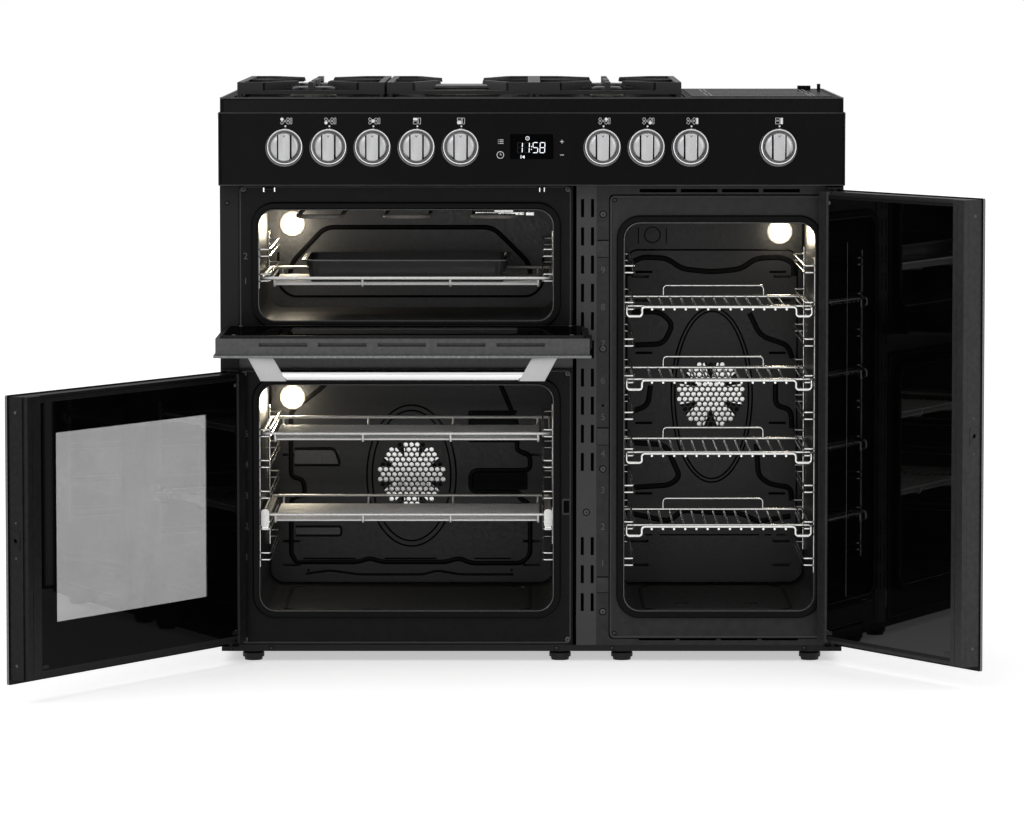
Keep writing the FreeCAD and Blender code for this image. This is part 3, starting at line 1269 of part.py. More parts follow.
def runner_slides():
    """The moving halves of the telescopic runners, with their front caps."""
    slides = []
    for wall, way in ((mm("cavity_left - cavity_step"), 1), (mm("cavity_right + cavity_step"), -1)):
        near = wall + way * mm("cavity_step + 3.5")
        far = near + way * mm("runner_width")
        x = min(near, far)
        front = mm(f"{FRAME} + rack_front")
        low = runner_top() + mm("rack_play")
        plate = Part.makeBox(mm("runner_width"), mm("rack_length") - 20, 1.5, Vector(x, front - 3, low))
        cap_low = low - mm("runner_cap_height") / 2 - 1
        cap = Part.makeBox(mm("runner_width + 3"), 4, mm("runner_cap_height"), Vector(x - 1.5, front - 7, cap_low))
        corners = [edge for edge in cap.Edges if abs(edge.BoundBox.YLength - 4) < 0.01]
        cap = cap.makeFillet(mm("runner_width") / 2, corners)
        slides.append(plate.fuse(cap))
    return slides


def make_main_shelves():
    high = rest_height("main_level_first", "main_level_pitch", 5)
    upper = computed("main_shelf_upper", wide_shelf(), wide_shelf_place(high))
    sliding = wide_shelf()
    sliding.translate(wide_shelf_place(runner_top() + mm("rack_play + 1.5 + shelf_wire / 2")))
    lower = computed("main_shelf_lower", Part.makeCompound([sliding] + runner_slides()))
    return [upper, lower]


def make_grill_rack():
    level = rest_height("grill_level_first", "grill_level_pitch", 1)
    return computed("grill_rack", wide_shelf(), wide_shelf_place(level))


def make_grill_pan():
    """A deep tray with sloping walls and a flat rim, standing on the grill rack's grid."""
    body = new_body("grill_pan")
    floor = (f"({level_height('grill_level_first', 'grill_level_pitch', 1)} + (rack_wire + shelf_wire) / 2 + rack_play"
             " - wide_shelf_sink + grid_wire / 2 + 0.3)")
    y = (f"({FRONT} + pan_setback)", f"({FRONT} + pan_setback + pan_depth)")
    x = (f"({MAIN_CENTRE} - pan_width / 2)", f"({MAIN_CENTRE} + pan_width / 2)")

    def ring(level, inset, radius):
        sketch = new_sketch(body, "XY_Plane", level)
        rounded(sketch, (f"{x[0]} + {inset}", f"{x[1]} - {inset}"), (f"{y[0]} + {inset}", f"{y[1]} - {inset}"), radius)
        return sketch

    lean = "atan((pan_taper - 3 * pan_wall) / pan_height)"
    wall = pad(body, ring(floor, "pan_taper", "pan_taper"), "pan_height")
    wall.setExpression("TaperAngle", linked(lean))
    pad(body, ring(f"{floor} + pan_height - pan_wall", "0", "pan_taper + 6"), "pan_wall")
    hollow = ring(f"{floor} + pan_height", "4 * pan_wall", "pan_taper + 2")
    depth = pocket(body, hollow, "pan_height - pan_wall")
    depth.setExpression("TaperAngle", linked(f"-{lean}"))
    return body


OVEN_LAMPS = [
    ("cavity_left + 38", "grill_ceiling - 42", GRILL_BACK, "0"),
    ("cavity_left + 37", "main_ceiling - 52", LINING, f"({OVEN_BACK} - {LINING})"),
    ("tall_right - 39", "tall_ceiling - 34", LINING, f"({OVEN_BACK} - {LINING})"),
]


def lining(across, upright, fan_x, fan_z, lamp):
    """The rear lining of a fan oven: a disc of holes before the fan, hot air outlets and four stand-offs."""
    margin = mm("fan_panel_margin")
    left, right = mm(across[0]) + margin, mm(across[1]) - margin
    low, high = mm(upright[0]) + margin, mm(upright[1]) - margin
    face = mm(LINING)
    centre = Vector(mm(fan_x), face, mm(fan_z))
    normal = Vector(0, 1, 0)
    outline = Part.makePolygon([Vector(x, face, z) for x, z in
                                ((left, low), (right, low), (right, high), (left, high), (left, low))])
    wires = [outline]
    pitch = mm("hole_pitch")
    field = mm("hole_field - hole_diameter") / 2
    rows = int(field / (pitch * 0.866))
    for row in range(-rows, rows + 1):
        z = row * pitch * 0.866
        shift = pitch / 2 if row % 2 else 0
        steps = int(field / pitch) + 1
        for step in range(-steps, steps + 1):
            x = step * pitch + shift
            if math.hypot(x, z) <= field:
                wires.append(Part.Wire([Part.makeCircle(mm("hole_diameter") / 2, centre + Vector(x, 0, z), normal)]))
    lamp_centre = Vector(mm(lamp[0]), face, mm(lamp[1]))
    wires.append(Part.Wire([Part.makeCircle(mm("lamp_glass") / 2 - 2, lamp_centre, normal)]))
    length, height = mm("outlet_length"), mm("outlet_height")
    for x in (left + 18, right - 18 - length):
        for z in (low + 26, high - 110, high - 150, low + 66):
            corners = ((x, z), (x + length, z), (x + length, z + height), (x, z + height), (x, z))
            wires.append(Part.makePolygon([Vector(px, face, pz) for px, pz in corners]))
    plate = Part.makeFace(wires, "Part::FaceMakerBullseye").extrude(Vector(0, mm("sheet_steel"), 0))
    corners = [Vector(x, face, z) for x in (left, right) for z in (low, high)]
    upright_edges = [e for e in plate.Edges if any((v.Point - c).Length < 0.01 for c in corners for v in e.Vertexes[:1])]
    thickness_edges = [e for e in upright_edges if abs(e.BoundBox.YLength - mm("sheet_steel")) < 0.01]
    shapes = [plate.makeFillet(mm("opening_corner - sheet_steel") - margin / 2, thickness_edges)]
    for x in (left + 10, right - 10):
        for z in (low + 10, high - 10):
            start = Vector(x, face + mm("sheet_steel") - 0.5, z)
            shapes.append(rod(start, Vector(x, mm(OVEN_BACK), z), mm("post_diameter")))
    return welded(shapes)


def make_fan_covers():
    main = lining(("cavity_left - cavity_step", "cavity_right + cavity_step"),
                  ("main_floor - cavity_step", "main_ceiling + cavity_step"), MAIN_CENTRE, MAIN_FAN_LEVEL, OVEN_LAMPS[1])
    tall = lining(("tall_left - cavity_step", "tall_right + cavity_step"),
                  ("main_floor - cavity_step", "tall_ceiling + cavity_step"), TALL_CENTRE, TALL_FAN_LEVEL, OVEN_LAMPS[2])
    return computed("fan_covers", Part.makeCompound([main, tall]))


def make_fan(name, x, z):
    """A back disc with radial blades, its hub and the shaft that runs into the motor."""
    body = new_body(name)
    front = f"({LINING} + sheet_steel + fan_clearance)"
    back = f"({front} + fan_depth)"
    disc = front_sketch(body, back)
    circle(disc, "0", "0", "fan_diameter * 0.62")
    pad(body, disc, "blade_thickness / 2")
    hub = front_sketch(body, back)
    circle(hub, "0", "0", "fan_hub")
    pad(body, hub, "fan_depth * 0.7")
    blade = front_sketch(body, back)
    rectangle(blade, ("fan_hub / 3", "fan_diameter / 2"), ("-blade_thickness / 2", "blade_thickness / 2"))
    first = pad(body, blade, "fan_depth")
    doc.recompute()
    pattern = body.newObject("PartDesign::PolarPattern", f"{name}_blades")
    pattern.Originals = [first]
    pattern.Axis = (blade, ["N_Axis"])
    pattern.Angle = 360
    pattern.Occurrences = BLADES
    body.Tip = pattern
    shaft = front_sketch(body, back)
    circle(shaft, "0", "0", "shaft_diameter")
    pad(body, shaft, "shaft_length", backwards=True)
    body.setExpression("Placement.Base.x", linked(x))
    body.setExpression("Placement.Base.z", linked(z))
    return body


def make_fan_motors():
    motors = []
    rear = f"({FRAME} + oven_depth)"
    for name, x, z in (("main", MAIN_CENTRE, MAIN_FAN_LEVEL), ("tall", TALL_CENTRE, TALL_FAN_LEVEL)):
        half = "motor_plate / 2"
        plate = box(f"{name}_motor_plate", (f"{x} - {half}", f"{x} + {half}"), (rear, f"{rear} + sheet_steel"),
                    (f"{z} - {half}", f"{z} + {half}"))
        can = cylinder(f"{name}_motor_can", (x, f"{rear} + sheet_steel / 2", z), "y", "motor_diameter", "motor_length")
        bore = cylinder(f"{name}_motor_bore", (x, f"{rear} - 1", z), "y", "shaft_diameter + 2 * shaft_play", "shaft_length")
        motors.append(cut(f"{name}_motor", fuse(f"{name}_motor_body", [plate, can]), [bore]))
    return group("fan_motors", motors)


def make_heating_elements():
    """A folded grill element under the grill's roof and a ring round each fan, ended in the rear walls."""
    thickness = mm("element_wire")
    level = mm("grill_element_level")
    rear = mm(GRILL_BACK)
    front = mm(f"{FRAME} + 50")
    left = mm("cavity_left + 60")
    right = mm("cavity_right - 60")
    legs = 6
    pitch = (right - left) / (legs - 1)
    corners = []
    for leg in range(legs):
        x = left + leg * pitch
        turn = rear if leg in (0, legs - 1) else rear - 45
        ends = [Vector(x, turn, level), Vector(x, front, level)]
        corners += ends if leg % 2 == 0 else ends[::-1]
    shapes = [bent_wire(corners, pitch / 2 - 6, thickness)]
    ring_y = mm(f"{LINING} + sheet_steel + fan_clearance + fan_depth / 2")
    for x, z in ((MAIN_CENTRE, MAIN_FAN_LEVEL), (TALL_CENTRE, TALL_FAN_LEVEL)):
        centre = point(x, str(ring_y), z)
        ring = Part.makeTorus(mm("ring_element") / 2, thickness / 2, centre, Vector(0, 1, 0))
        top = centre + Vector(0, 0, mm("ring_element") / 2)
        tails = [rod(top + Vector(dx, 0, -1), Vector(top.x + dx, mm(OVEN_BACK), top.z - 1), thickness) for dx in (-12, 12)]
        shapes.append(welded([ring] + tails))
    return computed("heating_elements", Part.makeCompound(shapes))


def make_oven_lamps():
    lamps = []
    for number, (x, z, wall, stem) in enumerate(OVEN_LAMPS, start=1):
        start = f"({wall} - lamp_depth)"
        dome = cone(f"lamp_dome_{number}", (x, start, z), "y", "lamp_glass - 8", "lamp_glass", "lamp_depth / 3")
        glass = cylinder(f"lamp_glass_{number}", (x, f"{start} + lamp_depth / 3", z), "y", "lamp_glass", "lamp_depth * 2 / 3")
        pieces = [dome, glass]
        if stem != "0":
            pieces.append(cylinder(f"lamp_stem_{number}", (x, wall, z), "y", "lamp_glass - 6", stem))
        lamps.append(fuse(f"lamp_{number}", pieces))
    return group("oven_lamps", lamps)


# ---- the whole cooker --------------------------------------------------------------------------------------


def build():
    nodes = [
        make_base_frame(),
        make_outer_casing(),
        make_levelling_feet(),
        make_centre_pillar(),
        make_grill_cavity(),
        make_main_cavity(),
        make_tall_cavity(),
        make_door_seals(),
        make_hob_tray(),
        make_ceramic_plate(),
        make_burner_bodies(),
        make_burner_caps(),
        make_pan_support("pan_support_left", "left_burners", ["burner_setback", "rear_burner_setback"],
                         "finger_across", "finger_along"),
        make_pan_support("pan_support_wok", "wok_burner", ["wok_setback"], "wok_finger_across", "wok_finger_along"),
        make_pan_support("pan_support_right", "right_burners", ["burner_setback", "rear_burner_setback"],
                         "finger_across", "finger_along"),
        make_control_panel(),
        make_knob_bezels(),
        make_control_gear(),
        make_door_hinges(),
        make_side_racks(),
        make_fan_covers(),
        make_fan_motors(),
        make_heating_elements(),
        make_oven_lamps(),
        make_grill_rack(),
        make_grill_pan(),
        make_fan("fan_main", MAIN_CENTRE, MAIN_FAN_LEVEL),
        make_fan("fan_tall", TALL_CENTRE, TALL_FAN_LEVEL),
    ]
    nodes += [make_knob(name, step) for name, step in ALL_KNOBS.items()]
    nodes += [make_spindle(name, step) for name, step in GAS_KNOBS.items()]
    nodes += [make_tall_shelf(f"tall_shelf_{n}", level) for n, level in enumerate(SHELF_LEVELS, start=1)]
    nodes += make_main_shelves()
    nodes += make_grill_door()
    nodes += make_side_door("main_door", LEFT_DOOR, ("door_bottom", "main_door_top"), MAIN_HINGE_X, "left",
                            -mm("main_open_angle"))
    nodes += make_side_door("tall_door", TALL_DOOR, ("door_bottom", "door_top"), TALL_HINGE_X, "right",
                            mm("tall_open_angle"))
    return nodes


def check(nodes):
    """Stops before anything is written if an object failed or a sub-part has no sound shape."""
    failed = [item.Label for item in doc.Objects if {"Invalid", "Error"} & set(item.State)]
    unsound = [n.Label for n in nodes if n.Shape.isNull() or not n.Shape.isValid() or not n.Shape.Solids]
    if failed or unsound:
        raise RuntimeError(f"failed objects: {failed}, unsound sub-parts: {unsound}")


nodes = build()
doc.recompute()
check(nodes)
os.makedirs("parts", exist_ok=True)
for node in nodes:
    node.Shape.exportStep(f"parts/{node.Label}.step")
print(f"{len(nodes)} parts written")
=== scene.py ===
import math
import bmesh
import bpy
from mathutils import Matrix, Vector


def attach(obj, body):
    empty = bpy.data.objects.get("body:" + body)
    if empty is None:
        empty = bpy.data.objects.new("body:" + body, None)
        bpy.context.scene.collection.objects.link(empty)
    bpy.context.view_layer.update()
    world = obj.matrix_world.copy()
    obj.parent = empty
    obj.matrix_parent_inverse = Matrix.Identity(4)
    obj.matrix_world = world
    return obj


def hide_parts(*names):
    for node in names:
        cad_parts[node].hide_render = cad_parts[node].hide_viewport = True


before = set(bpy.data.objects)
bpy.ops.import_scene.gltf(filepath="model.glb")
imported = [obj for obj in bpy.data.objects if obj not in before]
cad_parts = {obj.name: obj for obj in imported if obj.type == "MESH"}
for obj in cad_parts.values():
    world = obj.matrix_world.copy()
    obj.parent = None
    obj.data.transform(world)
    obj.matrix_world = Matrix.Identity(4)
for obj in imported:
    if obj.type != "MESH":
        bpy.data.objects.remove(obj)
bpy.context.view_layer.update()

# A black range cooker with its three doors open. Shapes are written in millimetres in the cooker's own frame:
# X to the right, Y to the back, Z up from the floor. The fascia's face is at Y = -300.

# ---- shaders -----------------------------------------------------------------------------------------------


def linear(code):
    """An sRGB hex colour as linear light."""
    channels = [int(code[i:i + 2], 16) / 255 for i in (1, 3, 5)]
    return [*(c / 12.92 if c <= 0.04045 else ((c + 0.055) / 1.055) ** 2.4 for c in channels), 1.0]


def add(tree, kind, sockets=None, **settings):
    """One node with its settings. A socket takes a value, or a link from another node's output."""
    node = tree.nodes.new(kind)
    for name, value in settings.items():
        setattr(node, name, value)
    for socket, value in (sockets or {}).items():
        if isinstance(value, bpy.types.NodeSocket):
            tree.links.new(value, node.inputs[socket])
        else:
            node.inputs[socket].default_value = value
    return node


def surface(name, colour, size, rough, tint=None, height=0.0, gloss=None, stretch=(1, 1, 1), detail=3.0,
            **sockets):
    """A material whose constants sit on its shader's own sockets.

    Unevenness of this size in mm varies its roughness and its tint, and height lifts it in mm. gloss is the
    weight and roughness of a clear glaze on a dark body, which mirrors more the flatter the eye meets it.
    """
    material = bpy.data.materials.new(name)
    material.use_nodes = True
    tree = material.node_tree
    shader = tree.nodes["Principled BSDF"]
    shader.inputs["Base Color"].default_value = linear(colour)
    if gloss:
        sockets.update(Specular_IOR_Level=0.0, Coat_Weight=gloss[0], Coat_Roughness=gloss[1])
    for socket, value in sockets.items():
        shader.inputs[socket.replace("_", " ")].default_value = value
    place = add(tree, "ShaderNodeTexCoord")
    scale = [1000 / (size * s) for s in stretch]
    spread = add(tree, "ShaderNodeMapping", {"Vector": place.outputs["Object"], "Scale": scale})
    noise = add(tree, "ShaderNodeTexNoise", {"Vector": spread.outputs["Vector"], "Scale": 1.0,
                                             "Detail": detail})
    level = noise.outputs["Fac"]
    polish = add(tree, "ShaderNodeMapRange", {"Value": level, "From Min": 0.3, "From Max": 0.7,
                                              "To Min": rough[0], "To Max": rough[1]})
    tree.links.new(polish.outputs["Result"], shader.inputs["Roughness"])
    if tint:
        ramp = add(tree, "ShaderNodeValToRGB", {"Fac": level})
        for stop, at, shade in zip(ramp.color_ramp.elements, (0.35, 0.65), tint):
            stop.position = at
            stop.color = linear(shade)
        tree.links.new(ramp.outputs["Color"], shader.inputs["Base Color"])
    if height:
        relief = add(tree, "ShaderNodeBump", {"Height": level, "Distance": height / 1000, "Strength": 0.6})
        tree.links.new(relief.outputs["Normal"], shader.inputs["Normal"])
    return material


# Glass enamel, sprayed on steel and fired: a deep black gloss whose reflections swim a little.
hob_enamel = surface("hob_enamel", "#070707", 9, (0.3, 0.4), ("#060606", "#0a0a0a"), 0.03, gloss=(0.12, 0.2))
# Oven enamel is rougher, so walls near a lamp catch a soft grey sheen.
oven_enamel = surface("oven_enamel", "#141414", 6, (0.3, 0.42), ("#101010", "#181818"), 0.03,
                      Specular_IOR_Level=0.3)
# The ovens' walls, floors and roofs carry a lighter grey copy of it: painted light inside the cavities.
lit_wall_enamel = surface("lit_wall_enamel", "#2a2a2a", 6, (0.28, 0.4), ("#252525", "#303030"), 0.03,
                      Specular_IOR_Level=0.45)
# Front frames: the same enamel, smoother.
frame_enamel = surface("frame_enamel", "#0f0f0f", 12, (0.4, 0.5), ("#0d0d0d", "#121212"), 0.02,
                       gloss=(0.16, 0.3))
# The tall oven's front frame faces the light more: a lighter copy of the frame enamel, painted light.
lit_tall_frame_enamel = surface("lit_tall_frame_enamel", "#262626", 12, (0.4, 0.5), ("#232323", "#2b2b2b"), 0.02,
                            gloss=(0.35, 0.34))
# Its right rim: a smooth, light grey line painted as its highlight.
highlight_rim = surface("painted_highlight_rim", "#7e7e7e", 12, (0.25, 0.35), ("#747474", "#888888"),
                     Specular_IOR_Level=0.5)
# Lacquered steel fascia: a smooth deep black with soft reflections.
lacquer = surface("lacquered_steel", "#050505", 40, (0.3, 0.4), ("#040404", "#060606"), 0.02,
                  gloss=(0.12, 0.26))
# Powder coat on the casing: a satin black with a fine pebbled skin, drawn at 1.5 mm so that it shows.
powder_coat = surface("powder_coated_steel", "#181818", 1.5, (0.42, 0.52), ("#141414", "#1e1e1e"), 0.05,
                      gloss=(0.3, 0.45))
# The slotted pillar's coat is a lighter grey.
pillar_coat = surface("grey_powder_coated_steel", "#393939", 1.5, (0.42, 0.52), ("#343434", "#3f3f3f"), 0.05,
                      gloss=(0.5, 0.4))
# Door frames: painted steel sections, a little greyer than the glass.
painted_steel = surface("painted_steel", "#2b2b2b", 8, (0.34, 0.42), ("#272727", "#303030"), 0.02,
                        gloss=(0.45, 0.3))
# The grill door's frame lies flat when it is open: its front strip gets a lighter copy of the paint, painted
# light.
lit_grill_paint = surface("painted_light_grill_steel", "#404040", 8, (0.34, 0.42), ("#3a3a3a", "#464646"), 0.02,
                      gloss=(0.7, 0.3))
# The same paint, darkened as painted shade, on the main door's frame, the doors' trims and the open grill
# door's upper and lower faces.
shaded_paint = surface("painted_shade_steel", "#181818", 8, (0.34, 0.42), ("#151515", "#1c1c1c"), 0.02,
                     gloss=(0.25, 0.3))
# Raised figures and screw heads in the same paint, lightened all over as a painted highlight.
highlight_paint = surface("highlight_paint", "#4a4a4a", 4, (0.4, 0.5), ("#434343", "#525252"), Specular_IOR_Level=0.3)
# Toughened float glass with a black ceramic print behind: flat, deep and sharp in reflection.
printed_glass = surface("printed_glass", "#030303", 60, (0.3, 0.4), ("#030303", "#050505"),
                        gloss=(0.13, 0.03))
# The tall door's glass carries a metal-oxide layer, so it mirrors the racks clearly.
coated_glass = surface("heat_reflecting_glass", "#020202", 60, (0.3, 0.4), ("#020202", "#040404"),
                       gloss=(0.7, 0.02))
# The outer panes face the room: the same glass, whose print takes off some of the gloss.
door_glass = surface("door_glass", "#050505", 60, (0.3, 0.4), ("#050505", "#080808"), gloss=(0.2, 0.06))
# Grey tinted glass: what is behind it shows, evenly darkened.
tinted_glass = surface("tinted_glass", "#c6c6c6", 80, (0.0, 0.015), ("#c4c4c4", "#c8c8c8"),
                       Transmission_Weight=1.0, IOR=1.45, Specular_IOR_Level=0.4)
# Ground and polished edge of a pane: a thin line lighter than its face.
glass_edge = surface("polished_glass_edge", "#6c6e6e", 5, (0.2, 0.3), ("#676969", "#737575"),
                     Specular_IOR_Level=0.5)
# Glass ceramic: black, glossier than enamel.
glass_ceramic = surface("glass_ceramic", "#060606", 3, (0.3, 0.4), ("#050505", "#0a0a0a"), 0.01,
                        gloss=(0.14, 0.08))
# Chromed wire, drawn and plated: bright streaks between dark reflections.
chromed_wire = surface("chromed_wire", "#dcdcda", 3, (0.12, 0.24), ("#d2d2d0", "#e4e4e2"), 0.01,
                       Metallic=1.0)
# Wire plated in satin nickel: it spreads the light, so a tight row of wires reads as a pale sheet.
nickel_wire = surface("satin_nickel_wire", "#dedddb", 3, (0.42, 0.52), ("#d4d3d1", "#e6e5e3"), 0.01,
                      Metallic=0.75)
# The same wire where a lamp shines on it from close by: more matt, and painted paler as its light.
lit_nickel_wire = surface("painted_light_nickel_wire", "#f2f1ef", 3, (0.42, 0.52), ("#eae9e7", "#f8f7f5"), 0.01,
                      Metallic=0.35)
# Polished stainless tube: fine lengthwise lines keep its highlight long.
polished_tube = surface("polished_stainless", "#e2e2e2", 1.2, (0.1, 0.2), ("#dadada", "#e8e8e8"), 0.004,
                        stretch=(60, 1, 1), Metallic=1.0)
# Bead-blasted and anodised aluminium: an even silvery grey.
anodised = surface("anodised_aluminium", "#a2a2a3", 0.8, (0.36, 0.46), ("#9f9fa0", "#adadae"), 0.02,
                   Metallic=1.0)
# Knobs: satin plated zinc, softly bright.
plated_zinc = surface("satin_plated_zinc", "#acacad", 1.0, (0.3, 0.38), ("#a4a4a5", "#b4b4b5"), 0.006,
                      Metallic=1.0)
# Plates under the rings: the same zinc, darkened as painted shade.
shaded_zinc = surface("shaded_zinc", "#5e5e5f", 4, (0.3, 0.38), ("#59595a", "#646465"), 0.004, Metallic=1.0)
# Rings: the same zinc, polished.
bright_zinc = surface("polished_zinc", "#e6e6e7", 4, (0.16, 0.24), ("#e0e0e1", "#ececed"), 0.004,
                      Metallic=1.0)
# Sand-cast iron with a matt enamel: a dull black with a gritty skin of about 1 mm.
cast_iron = surface("enamelled_cast_iron", "#111111", 1.1, (0.45, 0.62), ("#0d0d0d", "#181818"), 0.12,
                    Specular_IOR_Level=0.35)
# Die-cast burner crown: grey, mottled by heat.
die_cast = surface("die_cast_aluminium", "#666562", 5, (0.4, 0.55), ("#595854", "#73726e"), 0.03,
                   Metallic=1.0)
# Burner caps: matt black enamel.
cap_enamel = surface("matt_enamel", "#0d0d0d", 2, (0.34, 0.44), ("#0b0b0b", "#131313"), 0.03,
                     Specular_IOR_Level=0.35)
# Silicone rubber: dull and slightly greyed.
silicone = surface("silicone_rubber", "#060606", 4, (0.5, 0.62), ("#050505", "#090909"), 0.03,
                   gloss=(0.14, 0.3))
# The seals' inner lips: a smooth light grey line painted as their highlight.
highlight_lip_rubber = surface("painted_highlight_seal_lip", "#484848", 4, (0.3, 0.4), ("#434343", "#4e4e4e"), gloss=(0.9, 0.2))
# Moulded nylon: fine spark-eroded texture.
nylon = surface("moulded_nylon", "#121212", 1.0, (0.45, 0.58), ("#0f0f0f", "#181818"), 0.04,
                Specular_IOR_Level=0.3)
# Black painted as shade into holes, slots, grooves and gaps, and on the knobs' pointer ticks.
shadow_black = surface("painted_shade_black", "#030303", 4, (0.7, 0.8), ("#020202", "#040404"),
                       Specular_IOR_Level=0.05)
# Printed marks: flat off-white ink.
white_ink = surface("white_ink", "#ececec", 0.5, (0.5, 0.6), ("#e8e8e8", "#f0f0f0"), Specular_IOR_Level=0.2)
# Ceramic print on the cooking zone: a fainter grey.
grey_ink = surface("grey_ceramic_ink", "#9a9a9a", 0.5, (0.4, 0.5), ("#949494", "#a1a1a1"),
                   Specular_IOR_Level=0.2)
# Rolled edges, where thin enamel shines the most.
edge_enamel = surface("rolled_edge_enamel", "#141414", 9, (0.3, 0.4), ("#121212", "#181818"),
                      gloss=(1.0, 0.25))
# The clock's window: smoked glass, darker than the fascia round it.
smoked_glass = surface("smoked_glass", "#020202", 60, (0.3, 0.4), ("#020202", "#030303"), gloss=(0.03, 0.1))
# Unlit segments of the clock.
unlit_figure = surface("unlit_figure", "#2e2e2e", 1, (0.5, 0.6), ("#2a2a2a", "#323232"),
                       Specular_IOR_Level=0.0)
# Lit figures of the clock.
lit_figure = surface("lit_figure", "#f4f8ff", 1, (0.5, 0.6), Emission_Color=linear("#f2f6ff"),
                     Emission_Strength=0.8)
# Spark plugs' porcelain: a warm white with a hard shine.
white_ceramic = surface("glazed_porcelain", "#e6e2da", 6, (0.18, 0.28), ("#e0dcd4", "#ebe8e1"),
                        Specular_IOR_Level=0.5)
# Oven lamp: pressed glass over a warm bulb.
lamp_glow = surface("pressed_lamp_glass", "#fff6e0", 3, (0.1, 0.2), height=0.05,
                    Emission_Color=linear("#fff8ea"), Emission_Strength=1.2)
# Its fluted rim lies farther from the bulb and is dimmer.
lamp_rim = surface("fluted_lamp_rim", "#d8d2bf", 3, (0.1, 0.2), height=0.05,
                   Emission_Color=linear("#fff6e2"), Emission_Strength=0.35)
# Pressed grooves in the rear walls: the enamel darkened as painted shade.
groove_enamel = surface("shaded_enamel", "#070707", 6, (0.3, 0.42), ("#060606", "#0a0a0a"),
                        gloss=(0.08, 0.3))
# Pressed stainless fan: bright and faintly brushed.
fan_steel = surface("bright_stainless", "#d8d8d6", 2, (0.16, 0.3), ("#cfcfcd", "#e2e2e0"), 0.01,
                    stretch=(1, 1, 8), Metallic=1.0)
# The fan's blades and rear disc: the steel darkened as painted shade.
shaded_fan_steel = surface("painted_shade_fan_steel", "#222222", 6, (0.4, 0.5), ("#1e1e1e", "#282828"), 0.01,
                       Metallic=1.0)
# Sheathed element: a dull grey oxide, painted paler as light so that its loops in shade under the grill's roof
# match the rear wall.
sheath_steel = surface("painted_light_element_sheath", "#8a8682", 12, (0.5, 0.6), ("#827e7a", "#928e8a"), 0.01,
                       Specular_IOR_Level=0.3)
# Zinc-plated steel of motors, taps and switches, in a 9 mm spangle.
zinc_plate = surface("zinc_plated_steel", "#9b9b99", 9, (0.3, 0.45), ("#8d8d8b", "#a8a8a6"), 0.01,
                     Metallic=1.0)
# Turned brass.
brass = surface("turned_brass", "#b08d4c", 1.0, (0.25, 0.35), ("#a58244", "#ba9856"), 0.01,
                stretch=(1, 20, 1), Metallic=1.0)
# Speckled pan enamel: pale flecks of about 1 mm in a black gloss.
pan_enamel = surface("speckled_enamel", "#2a2a2a", 1.4, (0.14, 0.26), ("#272727", "#303030"), 0.02,
                     detail=6.0, Specular_IOR_Level=0.55)

# ---- mesh building -----------------------------------------------------------------------------------------

AXES = {
    "x": lambda a, b, h: (h, a, b),
    "y": lambda a, b, h: (a, h, b),
    "z": lambda a, b, h: (a, b, h),
}
TO_BACK = Vector((0, 1, 0))


def span(middle, half):
    return middle - half, middle + half


def grown(window, across, up=None):
    """Two (low, high) pairs, each longer by across or by up at both ends."""
    up = across if up is None else up
    return (window[0][0] - across, window[0][1] + across), (window[1][0] - up, window[1][1] + up)


def oblong(x, z):
    """Outline of a rectangle between two (low, high) pairs."""
    return [(x[0], z[0]), (x[1], z[0]), (x[1], z[1]), (x[0], z[1])]


def rounded(x, z, radius, steps=6):
    """The same with rounded corners."""
    points = []
    corners = ((x[1], z[0], 270), (x[1], z[1], 0), (x[0], z[1], 90), (x[0], z[0], 180))
    for cx, cz, start in corners:
        mx = cx - radius if cx == x[1] else cx + radius
        mz = cz - radius if cz == z[1] else cz + radius
        for step in range(steps + 1):
            angle = math.radians(start + 90 * step / steps)
            points.append((mx + radius * math.cos(angle), mz + radius * math.sin(angle)))
    return points


def disc(x, z, radius, count=24, stretch=1.0):
    turns = [2 * math.pi * i / count for i in range(count)]
    return [(x + radius * math.cos(t), z + radius * stretch * math.sin(t)) for t in turns]


def disc_strip(x, z, radius, offsets):
    """Outline of an upright strip of a disc, with its points at these offsets from the middle."""
    ends = [(across, math.sqrt(radius ** 2 - across ** 2)) for across in offsets]
    lower = [(x + across, z - rise) for across, rise in ends]
    return lower + [(x + across, z + rise) for across, rise in ends[::-1]]


def prism(bm, outline, axis, low, high, bevel=0.0, paint=0):
    """A flat outline pushed from low to high along an axis, its rims rounded by bevel."""
    rows = [[bm.verts.new(AXES[axis](a, b, h)) for a, b in outline] for h in (low, high)]
    count = len(outline)
    caps = [bm.faces.new(row) for row in rows]
    sides = [bm.faces.new((rows[0][i], rows[0][(i + 1) % count], rows[1][(i + 1) % count], rows[1][i]))
             for i in range(count)]
    for face in caps + sides:
        face.material_index = paint
    if bevel:
        rims = list({edge for face in caps for edge in face.edges})
        bmesh.ops.bevel(bm, geom=rims, offset=bevel, segments=2, profile=0.6, affect="EDGES")


def frame_prism(bm, outer, inner, axis, low, high, paint=0, side_paint=None):
    """A prism with a hole. Both outlines have the same number of points."""
    side_paint = paint if side_paint is None else side_paint
    count = len(outer)
    loops = [[bm.verts.new(AXES[axis](a, b, h)) for a, b in outline]
             for h in (low, high) for outline in (outer, inner)]
    for first, second, colour in ((0, 1, paint), (2, 3, paint), (0, 2, side_paint), (1, 3, side_paint)):
        for i in range(count):
            j = (i + 1) % count
            corners = (loops[first][i], loops[first][j], loops[second][j], loops[second][i])
            bm.faces.new(corners).material_index = colour


